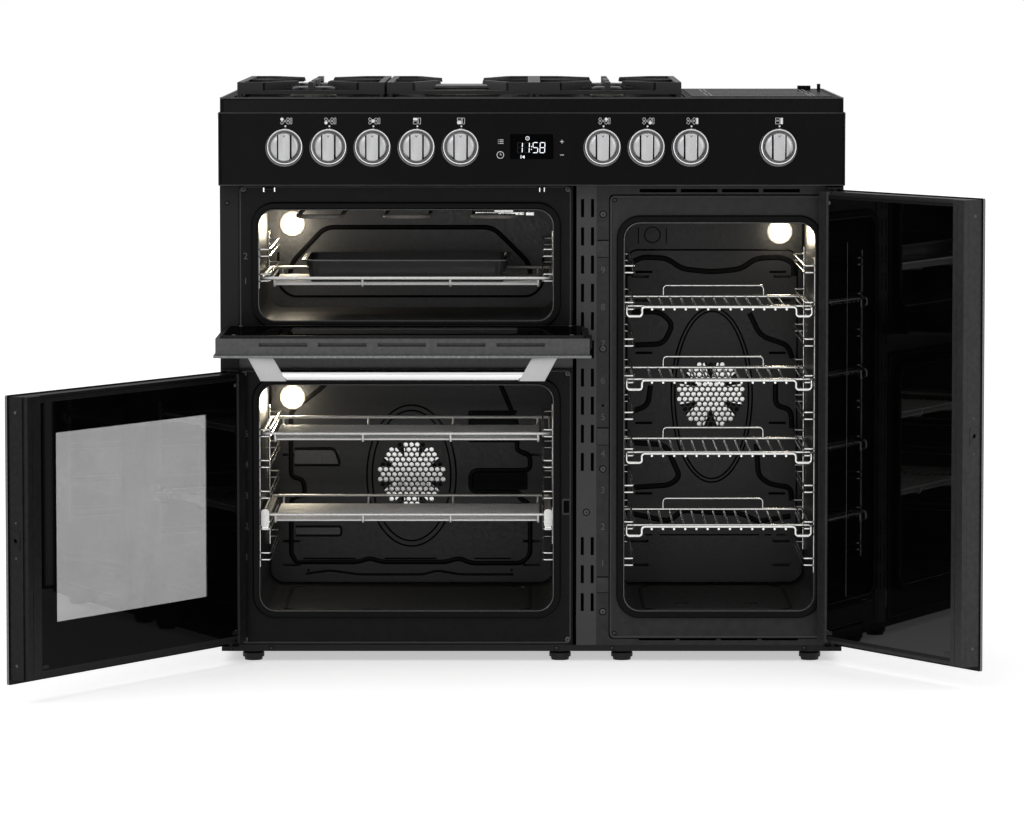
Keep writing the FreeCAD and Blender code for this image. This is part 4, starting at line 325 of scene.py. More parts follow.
def lathe(bm, profile, centre, axis="y", count=48, paint=0):
    """A profile of (radius, height) turned about an axis through centre. Radius 0 closes it."""
    loops = []
    for radius, height in profile:
        if radius == 0:
            loops.append([bm.verts.new(AXES[axis](*centre, height))])
        else:
            loops.append([bm.verts.new(AXES[axis](a, b, height)) for a, b in disc(*centre, radius, count)])
    for near, far in zip(loops, loops[1:]):
        for i in range(count):
            j = (i + 1) % count
            corners = [near[i % len(near)], near[j % len(near)], far[j % len(far)], far[i % len(far)]]
            corners = [v for k, v in enumerate(corners) if v not in corners[:k]]
            if len(corners) > 2:
                bm.faces.new(corners).material_index = paint


def rounded_path(points, radius, steps=5):
    """Points of a path whose inner corners are rounded."""
    path = [Vector(points[0])]
    for before, corner, after in zip(points, points[1:], points[2:]):
        corner = Vector(corner)
        inward = Vector(before) - corner
        outward = Vector(after) - corner
        reach = min(radius, inward.length * 0.45, outward.length * 0.45)
        start = corner + inward.normalized() * reach
        end = corner + outward.normalized() * reach
        for step in range(steps + 1):
            t = step / steps
            path.append((1 - t) ** 2 * start + 2 * t * (1 - t) * corner + t ** 2 * end)
    path.append(Vector(points[-1]))
    return path


def tube(bm, path, radius, sides=10, closed=False, flat=1.0, up=TO_BACK, paint=0):
    """A round bar along a path. flat squeezes it along up, which makes a pressed bead."""
    loops = []
    count = len(path)
    for i, point in enumerate(path):
        ahead = path[(i + 1) % count] if closed or i + 1 < count else point
        behind = path[i - 1] if closed or i else point
        along = (ahead - behind).normalized()
        side = along.cross(up)
        side = side.normalized() if side.length > 0.01 else Vector((1, 0, 0))
        lift = side.cross(along).normalized() * flat
        loops.append([bm.verts.new(point + side * a + lift * b) for a, b in disc(0, 0, radius, sides)])
    pairs = list(zip(loops, loops[1:])) + ([(loops[-1], loops[0])] if closed else [])
    for near, far in pairs:
        for k in range(sides):
            j = (k + 1) % sides
            bm.faces.new((near[k], near[j], far[j], far[k])).material_index = paint
    if not closed:
        for ring in (loops[0], loops[-1]):
            bm.faces.new(ring).material_index = paint


def hoop(bm, outline, axis, level, radius, sides=8, flat=1.0, paint=0):
    """A round bar bent to an outline that lies square to an axis."""
    path = [Vector(AXES[axis](a, b, level)) for a, b in outline]
    tube(bm, path, radius, sides, True, flat, Vector(AXES[axis](0, 0, 1)), paint)


def piece(name, build, body, materials, turn=Matrix(), replaces=()):
    """Builds a mesh in millimetres, turns it to where it stands and lets it ride on a body."""
    bm = bmesh.new()
    build(bm)
    bm.transform(turn @ Matrix.Scale(0.001, 4))
    bmesh.ops.recalc_face_normals(bm, faces=bm.faces)
    mesh = bpy.data.meshes.new(name)
    bm.to_mesh(mesh)
    bm.free()
    for material in materials:
        mesh.materials.append(material)
    mesh.shade_smooth()
    mesh.set_sharp_from_angle(angle=math.radians(35))
    item = bpy.data.objects.new(name, mesh)
    bpy.context.scene.collection.objects.link(item)
    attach(item, body)
    if replaces:
        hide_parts(*replaces)


def on_cabinet(slot, *materials, replaces=()):
    """Decorates a building function: its shape becomes the piece of that name, which rides on the cabinet."""
    def place(build):
        piece(build.__name__, build, "cabinet", materials, replaces=replaces)
        return build
    return place


# Depths of the faces that the pieces are set against.
FRONT = -300
INNER_PANES = -270
FRAMES = -255
RAISED_FRAME = -257
WALLS = 143

# ---- doors -------------------------------------------------------------------------------------------------


def swing(angle, axis, x, y, z):
    """From where a door's piece is built, shut, to where it stands. The hinge's place is in mm."""
    centre = Vector((x, y, z)) / 1000
    turn = Matrix.Rotation(math.radians(angle), 4, axis)
    return Matrix.Translation(centre) @ turn @ Matrix.Translation(-centre)


# Each door is written as if shut. level is its handle's height, and clear says that one sees through it.
DOORS = {
    "grill_door": {
        "turn": swing(90, "X", 0, -292, 519), "pane": ((-496, 93), (485, 763)),
        "inner": ((-483, 80), (515, 745)), "window": ((-380, -23), (560, 700)),
        "frame": ((-493, 90), (505, 755)), "level": 740, "clear": True,
        "print": printed_glass, "paint": lit_grill_paint,
    },
    "main_door": {
        "turn": swing(-122, "Z", -484, -290, 0), "pane": ((-496, 93), (30, 472)),
        "inner": ((-483, 80), (48, 460)), "window": ((-386, 10), (120.5, 410.5)),
        "frame": ((-493, 90), (38, 470)), "level": 449, "clear": True,
        "print": printed_glass, "paint": shaded_paint,
    },
    "tall_door": {
        "turn": swing(122, "Z", 484, -290, 0), "pane": ((97, 496), (30, 763)),
        "inner": ((110, 483), (48, 751)), "window": ((149, 415), (118, 683)),
        "frame": ((100, 493), (38, 761)), "level": 740, "clear": False,
        "print": coated_glass, "paint": painted_steel,
    },
}
PANE_THICKNESS = 4
FRAME_MIDDLE = -283


def pane(name, door, outline, y, radius, window, border):
    """A pane with its printed border, its window and its polished edge."""
    spec = DOORS[door]
    near, far, paint = (0.05, 3.95, 1) if spec["clear"] else (0.3, 3.6, 3)

    def build(bm):
        opening = rounded(*window, 1.5)
        frame_prism(bm, rounded(*outline, radius), opening, "y", y, y + PANE_THICKNESS, side_paint=2)
        prism(bm, opening, "y", y + near, y + far, paint=paint)

    materials = [border, tinted_glass, glass_edge, coated_glass]
    piece(f"{name}_pane", build, door, materials, spec["turn"], [name])


def handle(door):
    """Polished bar between two slanting brackets."""
    spec = DOORS[door]
    left, right = grown(spec["pane"], -53)[0]
    level = spec["level"]

    def build(bm):
        for start, way in ((left, 1), (right, -1)):
            outline = [(start + way * run, y) for run, y in ((0, FRONT), (40, FRONT), (60, -337), (20, -337))]
            prism(bm, outline, "z", *span(level, 9.2), bevel=0.9)
        bar = [(0, left + 34), (8.0, left + 34), (8.8, left + 35), (8.8, right - 35), (8.0, right - 34),
               (0, right - 34)]
        lathe(bm, bar, (-327.8, level), "x", 40, paint=1)

    name = f"{door}_handle"
    piece(f"{name}_bar", build, door, [anodised, polished_tube], spec["turn"], [name])


def door_fittings(door):
    """A slim trim round the inner pane, and a screw head near each corner of it."""
    spec = DOORS[door]
    inner = spec["inner"]
    screw_places = grown(inner, -18, -8)

    def build(bm):
        outer, opening = rounded(*grown(inner, 4), 9), rounded(*grown(inner, -1.2), 6)
        frame_prism(bm, outer, opening, "y", INNER_PANES, -265.6)
        for x in screw_places[0]:
            for z in screw_places[1]:
                head = [(0, -264.6), (2.6, -264.9), (3.2, -265.6), (3.2, -266.4)]
                lathe(bm, head, (x, z), "y", 16, paint=1)

    piece(f"{door}_trim", build, door, [shaded_paint, highlight_paint], spec["turn"])


def free_edge(door, side, heights):
    """Screws and the latch's throat, painted shade-black, on the door's free side."""
    spec = DOORS[door]
    edge = spec["frame"][0][side]
    out = 1 if side else -1
    middle = sum(spec["pane"][1]) / 2

    def build(bm):
        for z, radius in heights:
            head = [(0, edge + out * 0.7), (radius * 0.6, edge + out * 0.6), (radius, edge),
                    (radius, edge - out)]
            lathe(bm, head, (FRAME_MIDDLE, z), "x", 16)
        plate = rounded(span(FRAME_MIDDLE, 8), span(middle, 14), 3)
        mouth = disc(FRAME_MIDDLE, middle, 3.4, 28)
        frame_prism(bm, plate, mouth, "x", edge - out * 0.5, edge + out * 0.8, paint=1)
        throat = [(radius, edge - out * depth) for radius, depth in ((0, 2), (3.6, 2), (3.6, 1.6), (0, 1.6))]
        lathe(bm, throat, (FRAME_MIDDLE, middle), "x", 20, paint=2)

    piece(f"{door}_latch", build, door, [highlight_paint, spec["paint"], shadow_black], spec["turn"])


def door_posts(door, uprights):
    """Uprights that hold the inner pane: flat bars with a fine groove, each with a tab at its foot."""
    spec = DOORS[door]
    across, (low, high) = spec["frame"]

    def build(bm):
        for left, right in uprights:
            seam = left + (right - left) * 0.62
            outline = [(left, -266.4), (left, INNER_PANES), (right, INNER_PANES), (right, -266.2),
                       (right - 2.2, -263.2), (seam + 0.5, -263.2), (seam + 0.3, -263.9),
                       (seam - 0.3, -263.9), (seam - 0.5, -263.2), (left + 2.2, -263.2)]
            prism(bm, outline, "z", low + 0.3, high - 0.3)
        for left, right in uprights:
            tab = (right, right + 16) if right < sum(across) / 2 else (left - 16, left)
            prism(bm, rounded(tab, (low + 14, low + 20), 1, 2), "y", -266.2, -264.4)

    piece(f"{door}_posts", build, door, [spec["paint"]], spec["turn"])


for door, spec in DOORS.items():
    window = spec["window"]
    seen = grown(window, 50 if spec["clear"] else 6, 14)
    pane(f"{door}_outer_glass", door, spec["pane"], FRONT, 3, seen, door_glass)
    pane(f"{door}_inner_glass", door, spec["inner"], INNER_PANES, 6, window, spec["print"])
    handle(door)
    door_fittings(door)
free_edge("main_door", 1, ((60, 2.4), (224, 1.6), (278, 1.6), (446, 2.4)))
free_edge("tall_door", 0, ((66, 2.4), (369, 1.6), (424, 1.6), (736, 2.4)))
door_posts("main_door", ((50, 87.6), (-492, -470)))
door_posts("tall_door", ((100.2, 133), (467, 492)))

# ---- fascia ------------------------------------------------------------------------------------------------

KNOBS = {"left_rear": -393.6, "left_front": -323.5, "wok": -253.4, "grill": -183.3, "main_oven": -113.2,
         "right_rear": 113.2, "right_front": 183.3, "ceramic_zone": 253.4, "tall_oven": 393.6}
AXIS = 832
INK = (FRONT - 0.22, FRONT + 0.05)
MARKS_LEVEL = 872.8
TOUCH_LEVELS = (840, 818.7)


def knob(x):
    """A domed skirt with a bar grip on it, which ends in a pointer tick."""
    def build(bm):
        skirt = [(0, -304), (22.2, -304), (23, -304.8), (23, -312.6), (22.4, -313.8)]
        crown = [(22.4 * math.cos(t), -313.8 - 4.6 * math.sin(t)) for t in (0.25, 0.55, 0.85, 1.15, 1.4)]
        lathe(bm, skirt + crown + [(0, -318.4)], (x, AXIS), "y", 64)
        # A strip painted shade-black under the grip, so that dark lines show along its sides.
        prism(bm, disc_strip(x, AXIS, 21.9, (-11.7, -6, 0, 6, 11.7)), "y", -318.7, -313, paint=1)
        grip = disc_strip(x, AXIS, 21.6, (-9.3, -7, -4, -1.5, 1.5, 4, 7, 9.3))
        prism(bm, grip, "y", -327.9, -314, bevel=1.5)
        for way in (-1, 1):
            tick = [(x + way * a, AXIS + b) for a, b in ((0, 15.2), (2.2, 18.6), (1.4, 19), (0, 16.6))]
            prism(bm, tick, "y", -328, -327.4, paint=1)
    return build


for name, x in KNOBS.items():
    body = f"knob_{name}"
    piece(f"{name}_grip", knob(x), body, [plated_zinc, shadow_black], replaces=[body])


@on_cabinet("silver_trim", bright_zinc, shaded_zinc, replaces=["knob_bezels"])
def knob_rings(bm):
    """Polished rings, each on a plate set off below and to its left that shows as a painted shade line."""
    ring = [(25.5, -300), (29.4, -300), (29.4, -301.6), (28.9, -304.4), (27.9, -305.8), (26.7, -306),
            (25.7, -305.2), (25.5, -300)]
    plate = [(0, -300.5), (29.9, -300.5), (30.3, -300.1), (30.3, -299.9), (0, -299.9)]
    for x in KNOBS.values():
        lathe(bm, ring, (x, AXIS), "y", 72)
        lathe(bm, plate, (x - 0.6, AXIS - 1.9), "y", 64, paint=1)


def ink_ring(bm, x, z, outer, inner, count=20):
    frame_prism(bm, disc(x, z, outer, count), disc(x, z, inner, count), "y", *INK)


def ink_bar(bm, x, z, width, height):
    prism(bm, oblong(span(x, width / 2), span(z, height / 2)), "y", *INK)


def burner_mark(bm, x, active):
    """Plan of the hob: five burners and the ceramic zone, with one of them filled in."""
    for number, (dx, dz) in enumerate(((-4.2, 2.8), (-4.2, -2.8), (0.6, 0), (5.4, 2.8), (5.4, -2.8))):
        outer = 1.7 if number == 2 else 2.4
        if number == active:
            prism(bm, disc(x + dx, MARKS_LEVEL + dz, 2.6, 20), "y", *INK)
        else:
            ink_ring(bm, x + dx, MARKS_LEVEL + dz, outer, outer - 0.5)
    zone = ((x + 8.6, x + 11.8), span(MARKS_LEVEL, 4.9))
    if active == 5:
        prism(bm, rounded(*zone, 0.8, 2), "y", *INK)
    else:
        frame_prism(bm, rounded(*zone, 0.9, 2), rounded(*grown(zone, -0.5), 0.3, 2), "y", *INK)


def oven_mark(bm, x, filled):
    """Outline of the cooker's three ovens with one filled in."""
    left, right = (x - 5.5, x + 1.5), (x + 2.6, x + 6.5)
    z = MARKS_LEVEL
    cells = {"grill": (left, (z + 1, z + 5)), "main_oven": (left, (z - 5, z)), "tall_oven": (right, span(z, 5))}
    for name, cell in cells.items():
        if name == filled:
            prism(bm, rounded(*cell, 0.4, 2), "y", *INK)
        else:
            frame_prism(bm, rounded(*cell, 0.5, 2), rounded(*grown(cell, -0.5), 0.2, 2), "y", *INK)


@on_cabinet("black_panel", white_ink)
def fascia_marks(bm):
    """A mark and a dot over each knob, and the touch marks beside the clock."""
    zones = ("left_rear", "left_front", "wok", "right_rear", "right_front", "ceramic_zone")
    for active, name in enumerate(zones):
        burner_mark(bm, KNOBS[name], active)
    for name in ("grill", "main_oven", "tall_oven"):
        oven_mark(bm, KNOBS[name], name)
    for x in KNOBS.values():
        prism(bm, disc(x + 1.2, 864.4, 1.45, 16), "y", *INK)
    upper, lower = TOUCH_LEVELS
    for dz in (-2.8, 0, 2.8):
        ink_bar(bm, -48.2, upper + dz, 6.2, 0.8)
        ink_bar(bm, -53, upper + dz, 1.2, 0.8)
    ink_ring(bm, -50, lower, 5.8, 5.0, 32)
    for x, z, width, height in ((-50, lower + 1.5, 0.8, 3.2), (-49.0, lower, 2.6, 0.8),
                                (48.2, upper, 5.8, 0.9), (48.2, upper, 0.9, 5.8), (48.2, lower, 5.8, 0.9)):
        ink_bar(bm, x, z, width, height)


STROKES = {"1": "bc", "5": "afgcd", "8": "abcdefg"}
LIT_DEPTH = (FRONT - 0.1, FRONT + 0.4)
LEAN = 0.04


def figure(bm, digit, x, z, paint):
    """A digit made of bars that lean to the right."""
    width, half, stroke = 7.6, 8.1, 1.05
    bars = {"a": (0, 2 * half, 1), "g": (0, half, 1), "d": (0, 0, 1), "f": (0, half, 0), "e": (0, 0, 0),
            "b": (width, half, 0), "c": (width, 0, 0)}
    for key in STROKES[digit]:
        dx, dz, lying = bars[key]
        thick = span(0, stroke / 2)
        corners = oblong((0.7, width - 0.7), thick) if lying else oblong(thick, (0.6, half - 0.6))
        outline = [(x + dx + a + (dz + b) * LEAN, z + dz + b) for a, b in corners]
        prism(bm, outline, "y", LIT_DEPTH[0] + 0.1 * paint, LIT_DEPTH[1], paint=paint)


@on_cabinet("black_panel", lit_figure, unlit_figure)
def clock_figures(bm):
    """The time, with the unlit strokes of its first two digits, and three small signs."""
    for digit, x, paint in (("8", -23, 1), ("8", -11.9, 1), ("1", -23, 0), ("1", -11.9, 0), ("5", 1.7, 0),
                            ("8", 12.9, 0)):
        figure(bm, digit, x, 822.3, paint)
    for rise in (0, 4.6):
        prism(bm, disc(-0.6 + rise * LEAN, 827.6 + rise, 0.8, 12), "y", *LIT_DEPTH)
    frame_prism(bm, disc(-6.7, 845.2, 3.2, 20), disc(-6.7, 845.2, 2.6, 20), "y", *LIT_DEPTH)
    prism(bm, [(-7, 845), (-6.5, 844.6), (-5.2, 846.6), (-5.6, 846.9)], "y", *LIT_DEPTH)
    prism(bm, oblong((-17.6, -16.7), (812.9, 818.3)), "y", *LIT_DEPTH)
    prism(bm, [(-15.6, 815.6), (-11.6, 813), (-11.6, 818.2)], "y", *LIT_DEPTH)


@on_cabinet("black_panel", smoked_glass)
def clock_glass(bm):
    prism(bm, rounded((-34.7, 34.7), (812.05, 851.95), 0.5, 2), "y", FRONT + 0.05, -298.6)


# ---- hob ---------------------------------------------------------------------------------------------------

BURNERS = [(-354, 125, 100), (-354, -125, 76), (-114, 0, 130), (122, 125, 76), (122, -125, 55)]


@on_cabinet("burner_alloy", die_cast, shadow_black, replaces=["burner_bodies"])
def burner_crowns(bm):
    """Crowns with a ring of flame ports round them, the ports painted shade-black."""
    for x, y, size in BURNERS:
        radius = size / 2
        profile = [(20, 882), (20, 908), (radius, 908), (radius, 910), (radius - 3, 911),
                   (radius - 3.4, 917.4), (radius - 6, 918), (0, 918)]
        lathe(bm, profile, (x, y), "z", 72)
        ports = int(size * 0.5)
        for port in range(ports):
            angle = 2 * math.pi * port / ports
            out = Vector((math.cos(angle), math.sin(angle), 0))
            side = Vector((-out.y, out.x, 0)) * 0.7
            near, far = out * (radius - 5), out * (radius - 2.9)
            outline = [near - side, far - side, far + side, near + side]
            prism(bm, [(x + p.x, y + p.y) for p in outline], "z", 912.2, 916.6, paint=1)


@on_cabinet("cast_iron", cap_enamel, replaces=["burner_caps"])
def burner_lids(bm):
    for x, y, size in BURNERS:
        radius = size / 2 - 3
        profile = [(0, 918), (radius - 1, 918), (radius, 918.8), (radius, 920.4), (radius - 1.2, 922.6),
                   (radius - 4, 923.8), (0, 924)]
        lathe(bm, profile, (x, y), "z", 72)


@on_cabinet("burner_alloy", white_ceramic, zinc_plate)
def spark_plugs(bm):
    """Spark plug and flame probe beside each crown."""
    for x, y, size in BURNERS:
        reach = (size / 2 + 4.5) * 0.7071
        for side in (-1, 1):
            place = (x + side * reach, y + reach)
            lathe(bm, [(0, 916.5), (1.7, 916.5), (2.3, 915.5), (2.3, 908)], place, "z", 16)
            lathe(bm, [(0, 920.5), (0.8, 920), (0.8, 916)], place, "z", 10, paint=1)


@on_cabinet("ceramic_glass", grey_ink)
def zone_marks(bm):
    """Fine outlines of the two heating zones."""
    for y in ((-232, -20), (20, 232)):
        for inset in (0, 7):
            zone = grown(((282, 456), y), -inset)
            outer, inner = rounded(*zone, 16 - inset), rounded(*grown(zone, -1.2), 14.8 - inset)
            frame_prism(bm, outer, inner, "z", 910.9, 911.06)


@on_cabinet("black_enamel", edge_enamel)
def rolled_edges(bm):
    """The hob's rolled rim, and the folded rims of the fascia below it."""
    hoop(bm, rounded((-496, 496), (-297, 298.4), 4), "z", 908.9, 1.5, 10)
    for z in (885.5, 770.5):
        tube(bm, [Vector((-499, -299.5, z)), Vector((499, -299.5, z))], 0.9)
    for x in (-499, 499):
        tube(bm, [Vector((x, -299.5, 770.5)), Vector((x, -299.5, 885.5))], 0.9)


# ---- ovens -------------------------------------------------------------------------------------------------


def bead(bm, points, width=8, height=2.2, closed=False, round_by=10):
    """A pressed rib on a rear wall, through (x, z) points."""
    places = [(x, WALLS, z) for x, z in points]
    if closed:
        middle = [(a + b) / 2 for a, b in zip(places[0], places[1])]
        places = [middle, *places[1:], places[0], middle]
    path = rounded_path(places, round_by)
    tube(bm, path[:-1] if closed else path, width / 2, 8, closed, height / (width / 2))


def oval(bm, x, z, half_width, half_height, width=2.8, height=1.4):
    """A pressed rib along an ellipse."""
    outline = disc(x, z, half_width, 72, half_height / half_width)
    hoop(bm, outline, "y", WALLS, width / 2, flat=height / (width / 2))


def dark_slots(bm, slots):
    """Slots in a rear wall, painted shade-black on its face, as (x, z, width, height)."""
    for x, z, width, height in slots:
        outline = rounded(span(x, width / 2), span(z, height / 2), min(width, height) / 2.2, 3)
        prism(bm, outline, "y", WALLS - 0.15, WALLS + 0.5)


@on_cabinet("oven_enamel", groove_enamel)
def main_oven_ribs(bm):
    bead(bm, [(-404, 132), (-396, 118), (-292, 118), (-272, 125), (-252, 118), (-142, 118), (-122, 125),
              (-102, 116), (-16, 116), (-2, 130), (-2, 216), (-20, 226), (-20, 236), (-96, 236), (-102, 244),
              (-102, 266), (-94, 273), (-2, 273), (-2, 300), (-24, 306), (-24, 322), (-24, 352), (-58, 432),
              (-150, 432), (-166, 424), (-205, 436), (-330, 436), (-352, 412), (-404, 372), (-404, 262),
              (-384, 258), (-380, 232), (-404, 226)], closed=True)
    for inset in (0, 9):
        oval(bm, -201.5, 264, 75 - inset, 119 - inset)
    bead(bm, [(-398, 310), (-330, 310), (-322, 284)], 5, 1.6)
    bead(bm, [(-398, 282), (-322, 282)], 4, 1.4)
    bead(bm, [(-396, 178), (-320, 178), (-320, 163), (-396, 163)], 4, 1.4, round_by=4)
    for points in ([(-104, 372), (-24, 372)], [(-104, 322), (-104, 372)], [(-104, 322), (-24, 322)],
                   [(-380, 98), (-340, 104), (-290, 97), (-180, 97), (-160, 104), (-120, 97), (-30, 97)]):
        bead(bm, points, 4, 1.4)


@on_cabinet("oven_enamel", groove_enamel, lit_wall_enamel)
def main_oven_recesses(bm):
    """Recesses pressed deeper, painted shade-dark, and two that face the lamp, painted light."""
    for x, z, paint in (((-98, -6), (240, 270), 0), ((-102, -26), (324, 370), 0),
                        ((-398, -324), (284, 307), 1), ((-396, -321), (164, 177), 1)):
        prism(bm, rounded(x, z, 3), "y", WALLS - 0.35, WALLS + 0.4, paint=paint)


@on_cabinet("oven_enamel", shadow_black)
def main_oven_slots(bm):
    dark_slots(bm, [(-340, 124, 88, 2.6), (-203, 124, 88, 2.6), (-65, 124, 62, 2.6), (-316, 424, 54, 5),
                    (-202, 424, 50, 5), (-108, 424, 46, 5)])
    for x in (-375, -33):
        prism(bm, disc(x, 104, 2.2, 14), "y", WALLS - 0.3, WALLS + 0.4)


@on_cabinet("oven_enamel", groove_enamel)
def tall_oven_ribs(bm):
    for inset in (0, 6):
        oval(bm, 303, 400, 68 - inset, 147 - inset)
    for points in (
            [(166, 600), (166, 622), (186, 632), (228, 630), (252, 612), (303, 607), (352, 612), (376, 630),
             (418, 632), (440, 622), (440, 600)],
            [(168, 540), (216, 540), (238, 520), (222, 486), (170, 484)],
            [(168, 372), (196, 382), (200, 416)],
            [(168, 320), (226, 316), (250, 262), (232, 248), (170, 244)],
            [(170, 200), (232, 186), (254, 206), (303, 202), (356, 200), (380, 186), (436, 196)],
            [(366, 538), (384, 500), (430, 484), (438, 462)],
            [(410, 420), (410, 382), (436, 376), (438, 344)],
            [(378, 318), (382, 264), (400, 250), (436, 244), (438, 222)]):
        bead(bm, points, 9, 2.0, round_by=14)
    bead(bm, [(160, 160), (160, 634), (172, 644), (434, 644), (446, 634), (446, 160)], 3, 1.2, round_by=8)


@on_cabinet("oven_enamel", shadow_black)
def tall_oven_slots(bm):
    slots = [(x, z, 29, 4) for x in (189, 413) for z in (607, 471, 353, 234)]
    slots += [(x, 164, width, 2.4) for x, width in ((176, 19), (198, 12), (300, 168), (398, 12), (420, 16))]
    slots += [(x, 668, 1.6, 27) for x in (179.5, 226)]
    dark_slots(bm, slots)


@on_cabinet("oven_enamel", oven_enamel)
def tall_oven_emboss(bm):
    """A triangle in a ring, pressed into the wall."""
    oval(bm, 203, 669, 13, 13, 2.4, 1.0)
    prism(bm, [(196, 669), (208, 661.5), (208, 676.5)], "y", WALLS - 1.0, WALLS + 0.5)


@on_cabinet("oven_enamel", groove_enamel)
def grill_wall_ribs(bm):
    bead(bm, [(-404, 584), (-404, 620), (-346, 682), (-64, 682), (-2, 620), (-2, 584)], round_by=16)
    bead(bm, [(-424, 640), (-424, 584), (-404, 566), (0, 566), (20, 584), (20, 640)], 4, 1.6, round_by=14)


@on_cabinet("oven_enamel", oven_enamel)
def oven_floor_ribs(bm):
    """Stiffening rims on the floors of the tall and main ovens, and two small rings on the tall oven's."""
    for x, y in (((182, 421), (-215, 115)), ((-400, -3), (-220, 110))):
        hoop(bm, rounded(x, y, 24), "z", 80, 3, flat=0.6)
    for x in (245, 358):
        hoop(bm, disc(x, -130, 11, 24), "z", 80, 1.5, flat=0.6)


LAMPS = [(-400, 688), (-401, 397), (416, 675)]


@on_cabinet("lamp_glass", lamp_glow, lamp_rim, replaces=["oven_lamps"])
def lamp_covers(bm):
    """Pressed glass covers with a scalloped rim."""
    count = 72
    for x, z in LAMPS:
        loops = []
        for radius, out, wave in ((21.4, -0.5, 0.0), (21.4, 4, 0.045), (19.5, 7, 0.045), (15.5, 9.5, 0.02),
                                  (9, 11.4, 0.0)):
            ring = []
            for i in range(count):
                t = 2 * math.pi * i / count
                reach = radius * (1 - wave * (0.5 + 0.5 * math.cos(12 * t)))
                ring.append(bm.verts.new((x + reach * math.cos(t), WALLS - out, z + reach * math.sin(t))))
            loops.append(ring)
        for band, (near, far) in enumerate(zip(loops, loops[1:])):
            for i in range(count):
                j = (i + 1) % count
                bm.faces.new((near[i], near[j], far[j], far[i])).material_index = 1 if band < 3 else 0
        bm.faces.new(loops[-1])
        bm.faces.new(loops[0])


@on_cabinet("motor_steel", zinc_plate)
def lamp_holders(bm):
    """Sockets of the two fan ovens' lamps, behind the walls."""
    for place in LAMPS[1:]:
        lathe(bm, [(18, WALLS + 0.6), (18, 179.8), (0, 179.8)], place, "y", 36)


@on_cabinet("element_steel", fan_steel, shadow_black)
def element_clips(bm):
    """Bright holders under the grill's roof, the middle one with a row of slots painted shade-black."""
    for left, right, low in ((-91, -56, 720.6), (-54, -12, 718), (-9, 4, 717.2)):
        prism(bm, rounded((left, right), (low, 722.8), 0.8, 2), "y", -190, -184, bevel=0.4)
    for x in range(-50, -12, 7):
        prism(bm, oblong((x, x + 3), (718.9, 720.3)), "y", -190.3, -189.8, paint=1)
    prism(bm, oblong((-60, -30), (722, 732.8)), "y", -187, -185)


def star(x, z, arms, outer, inner):
    """Outline of a star with blunt arms."""
    points = []
    for arm in range(arms):
        for share, radius in ((-0.28, outer), (0.28, outer), (0.5, inner)):
            angle = 2 * math.pi * (arm + share) / arms
            points.append((x + radius * math.cos(angle), z + radius * math.sin(angle)))
    return points


def blade_outline(x, z, base):
    """A fan's curved blade seen from the front: out along one side and back along the other."""
    outline = []
    for side in (-1, 1):
        for step in range(7)[::-side]:
            reach = 11 + 61.5 * step / 6
            angle = base + 0.35 * math.sin(step / 6 * 1.6) - 0.2 + side * 0.9 / reach
            outline.append((x + reach * math.cos(angle), z + reach * math.sin(angle)))
    return outline


def bright_fan(x, z, arms, inner):
    """Curved blades on a disc, both painted shade-dark, with a star-shaped plate before them that glints behind
    the holes.
    """
    def build(bm):
        prism(bm, disc(x, z, 71, 48), "y", 172.6, 173.8, paint=1)
        lathe(bm, [(0, 158), (9, 158), (12, 160), (12, 173)], (x, z), "y", 32)
        lathe(bm, [(3, 174), (3, 199.9), (0, 199.9)], (x, z), "y", 20)
        for blade in range(arms):
            prism(bm, blade_outline(x, z, 2 * math.pi * blade / arms), "y", 154.2, 173.4, paint=1)
        prism(bm, star(x, z, arms, 66, inner), "y", 152.4, 153.4)
    return build


for side, shape in (("main", (-201.5, 266, 8, 30)), ("tall", (301.5, 401, 6, 24))):
    body = f"fan_{side}"
    steels = [fan_steel, shaded_fan_steel]
    piece(f"{side}_fan_blades", bright_fan(*shape), body, steels, replaces=[body])

# ---- front frames ------------------------------------------------------------------------------------------


@on_cabinet("oven_enamel", highlight_paint)
def level_numbers(bm):
    """Raised figures beside the shelf levels, painted lighter as their highlight."""
    for x, lowest, rise, count in ((114.5, 154.5, 59.1, 9), (-459, 164.5, 49.9, 5), (-459, 610, 40, 2)):
        for level in range(count):
            curve = bpy.data.curves.new("figure", "FONT")
            curve.body = str(level + 1)
            curve.size = 15
            curve.extrude = 0.35
            curve.align_x = "CENTER"
            holder = bpy.data.objects.new("figure", curve)
            mesh = bpy.data.meshes.new_from_object(holder)
            place = Matrix.Translation((x, FRAMES - 0.2, lowest + rise * level))
            mesh.transform(place @ Matrix.Rotation(math.radians(90), 4, "X"))
            bm.from_mesh(mesh)
            bpy.data.objects.remove(holder)
            bpy.data.meshes.remove(mesh)
            bpy.data.curves.remove(curve)


def screw(bm, x, y, z, radius):
    """A pan-head screw that faces the front, its cross recess and a dimple round it painted shade-black."""
    lathe(bm, [(radius + 1.5, y + 0.3), (radius + 1.5, y - 0.25), (0, y - 0.25)], (x, z), "y", 24, paint=1)
    lathe(bm, [(radius, y + 0.4), (radius, y - 0.5), (radius * 0.7, y - 1.2), (0, y - 1.3)], (x, z), "y", 20)
    for half, tall in ((radius * 0.5, 0.35), (0.35, radius * 0.5)):
        prism(bm, oblong(span(x, half), span(z, tall)), "y", y - 1.45, y - 0.9, paint=1)


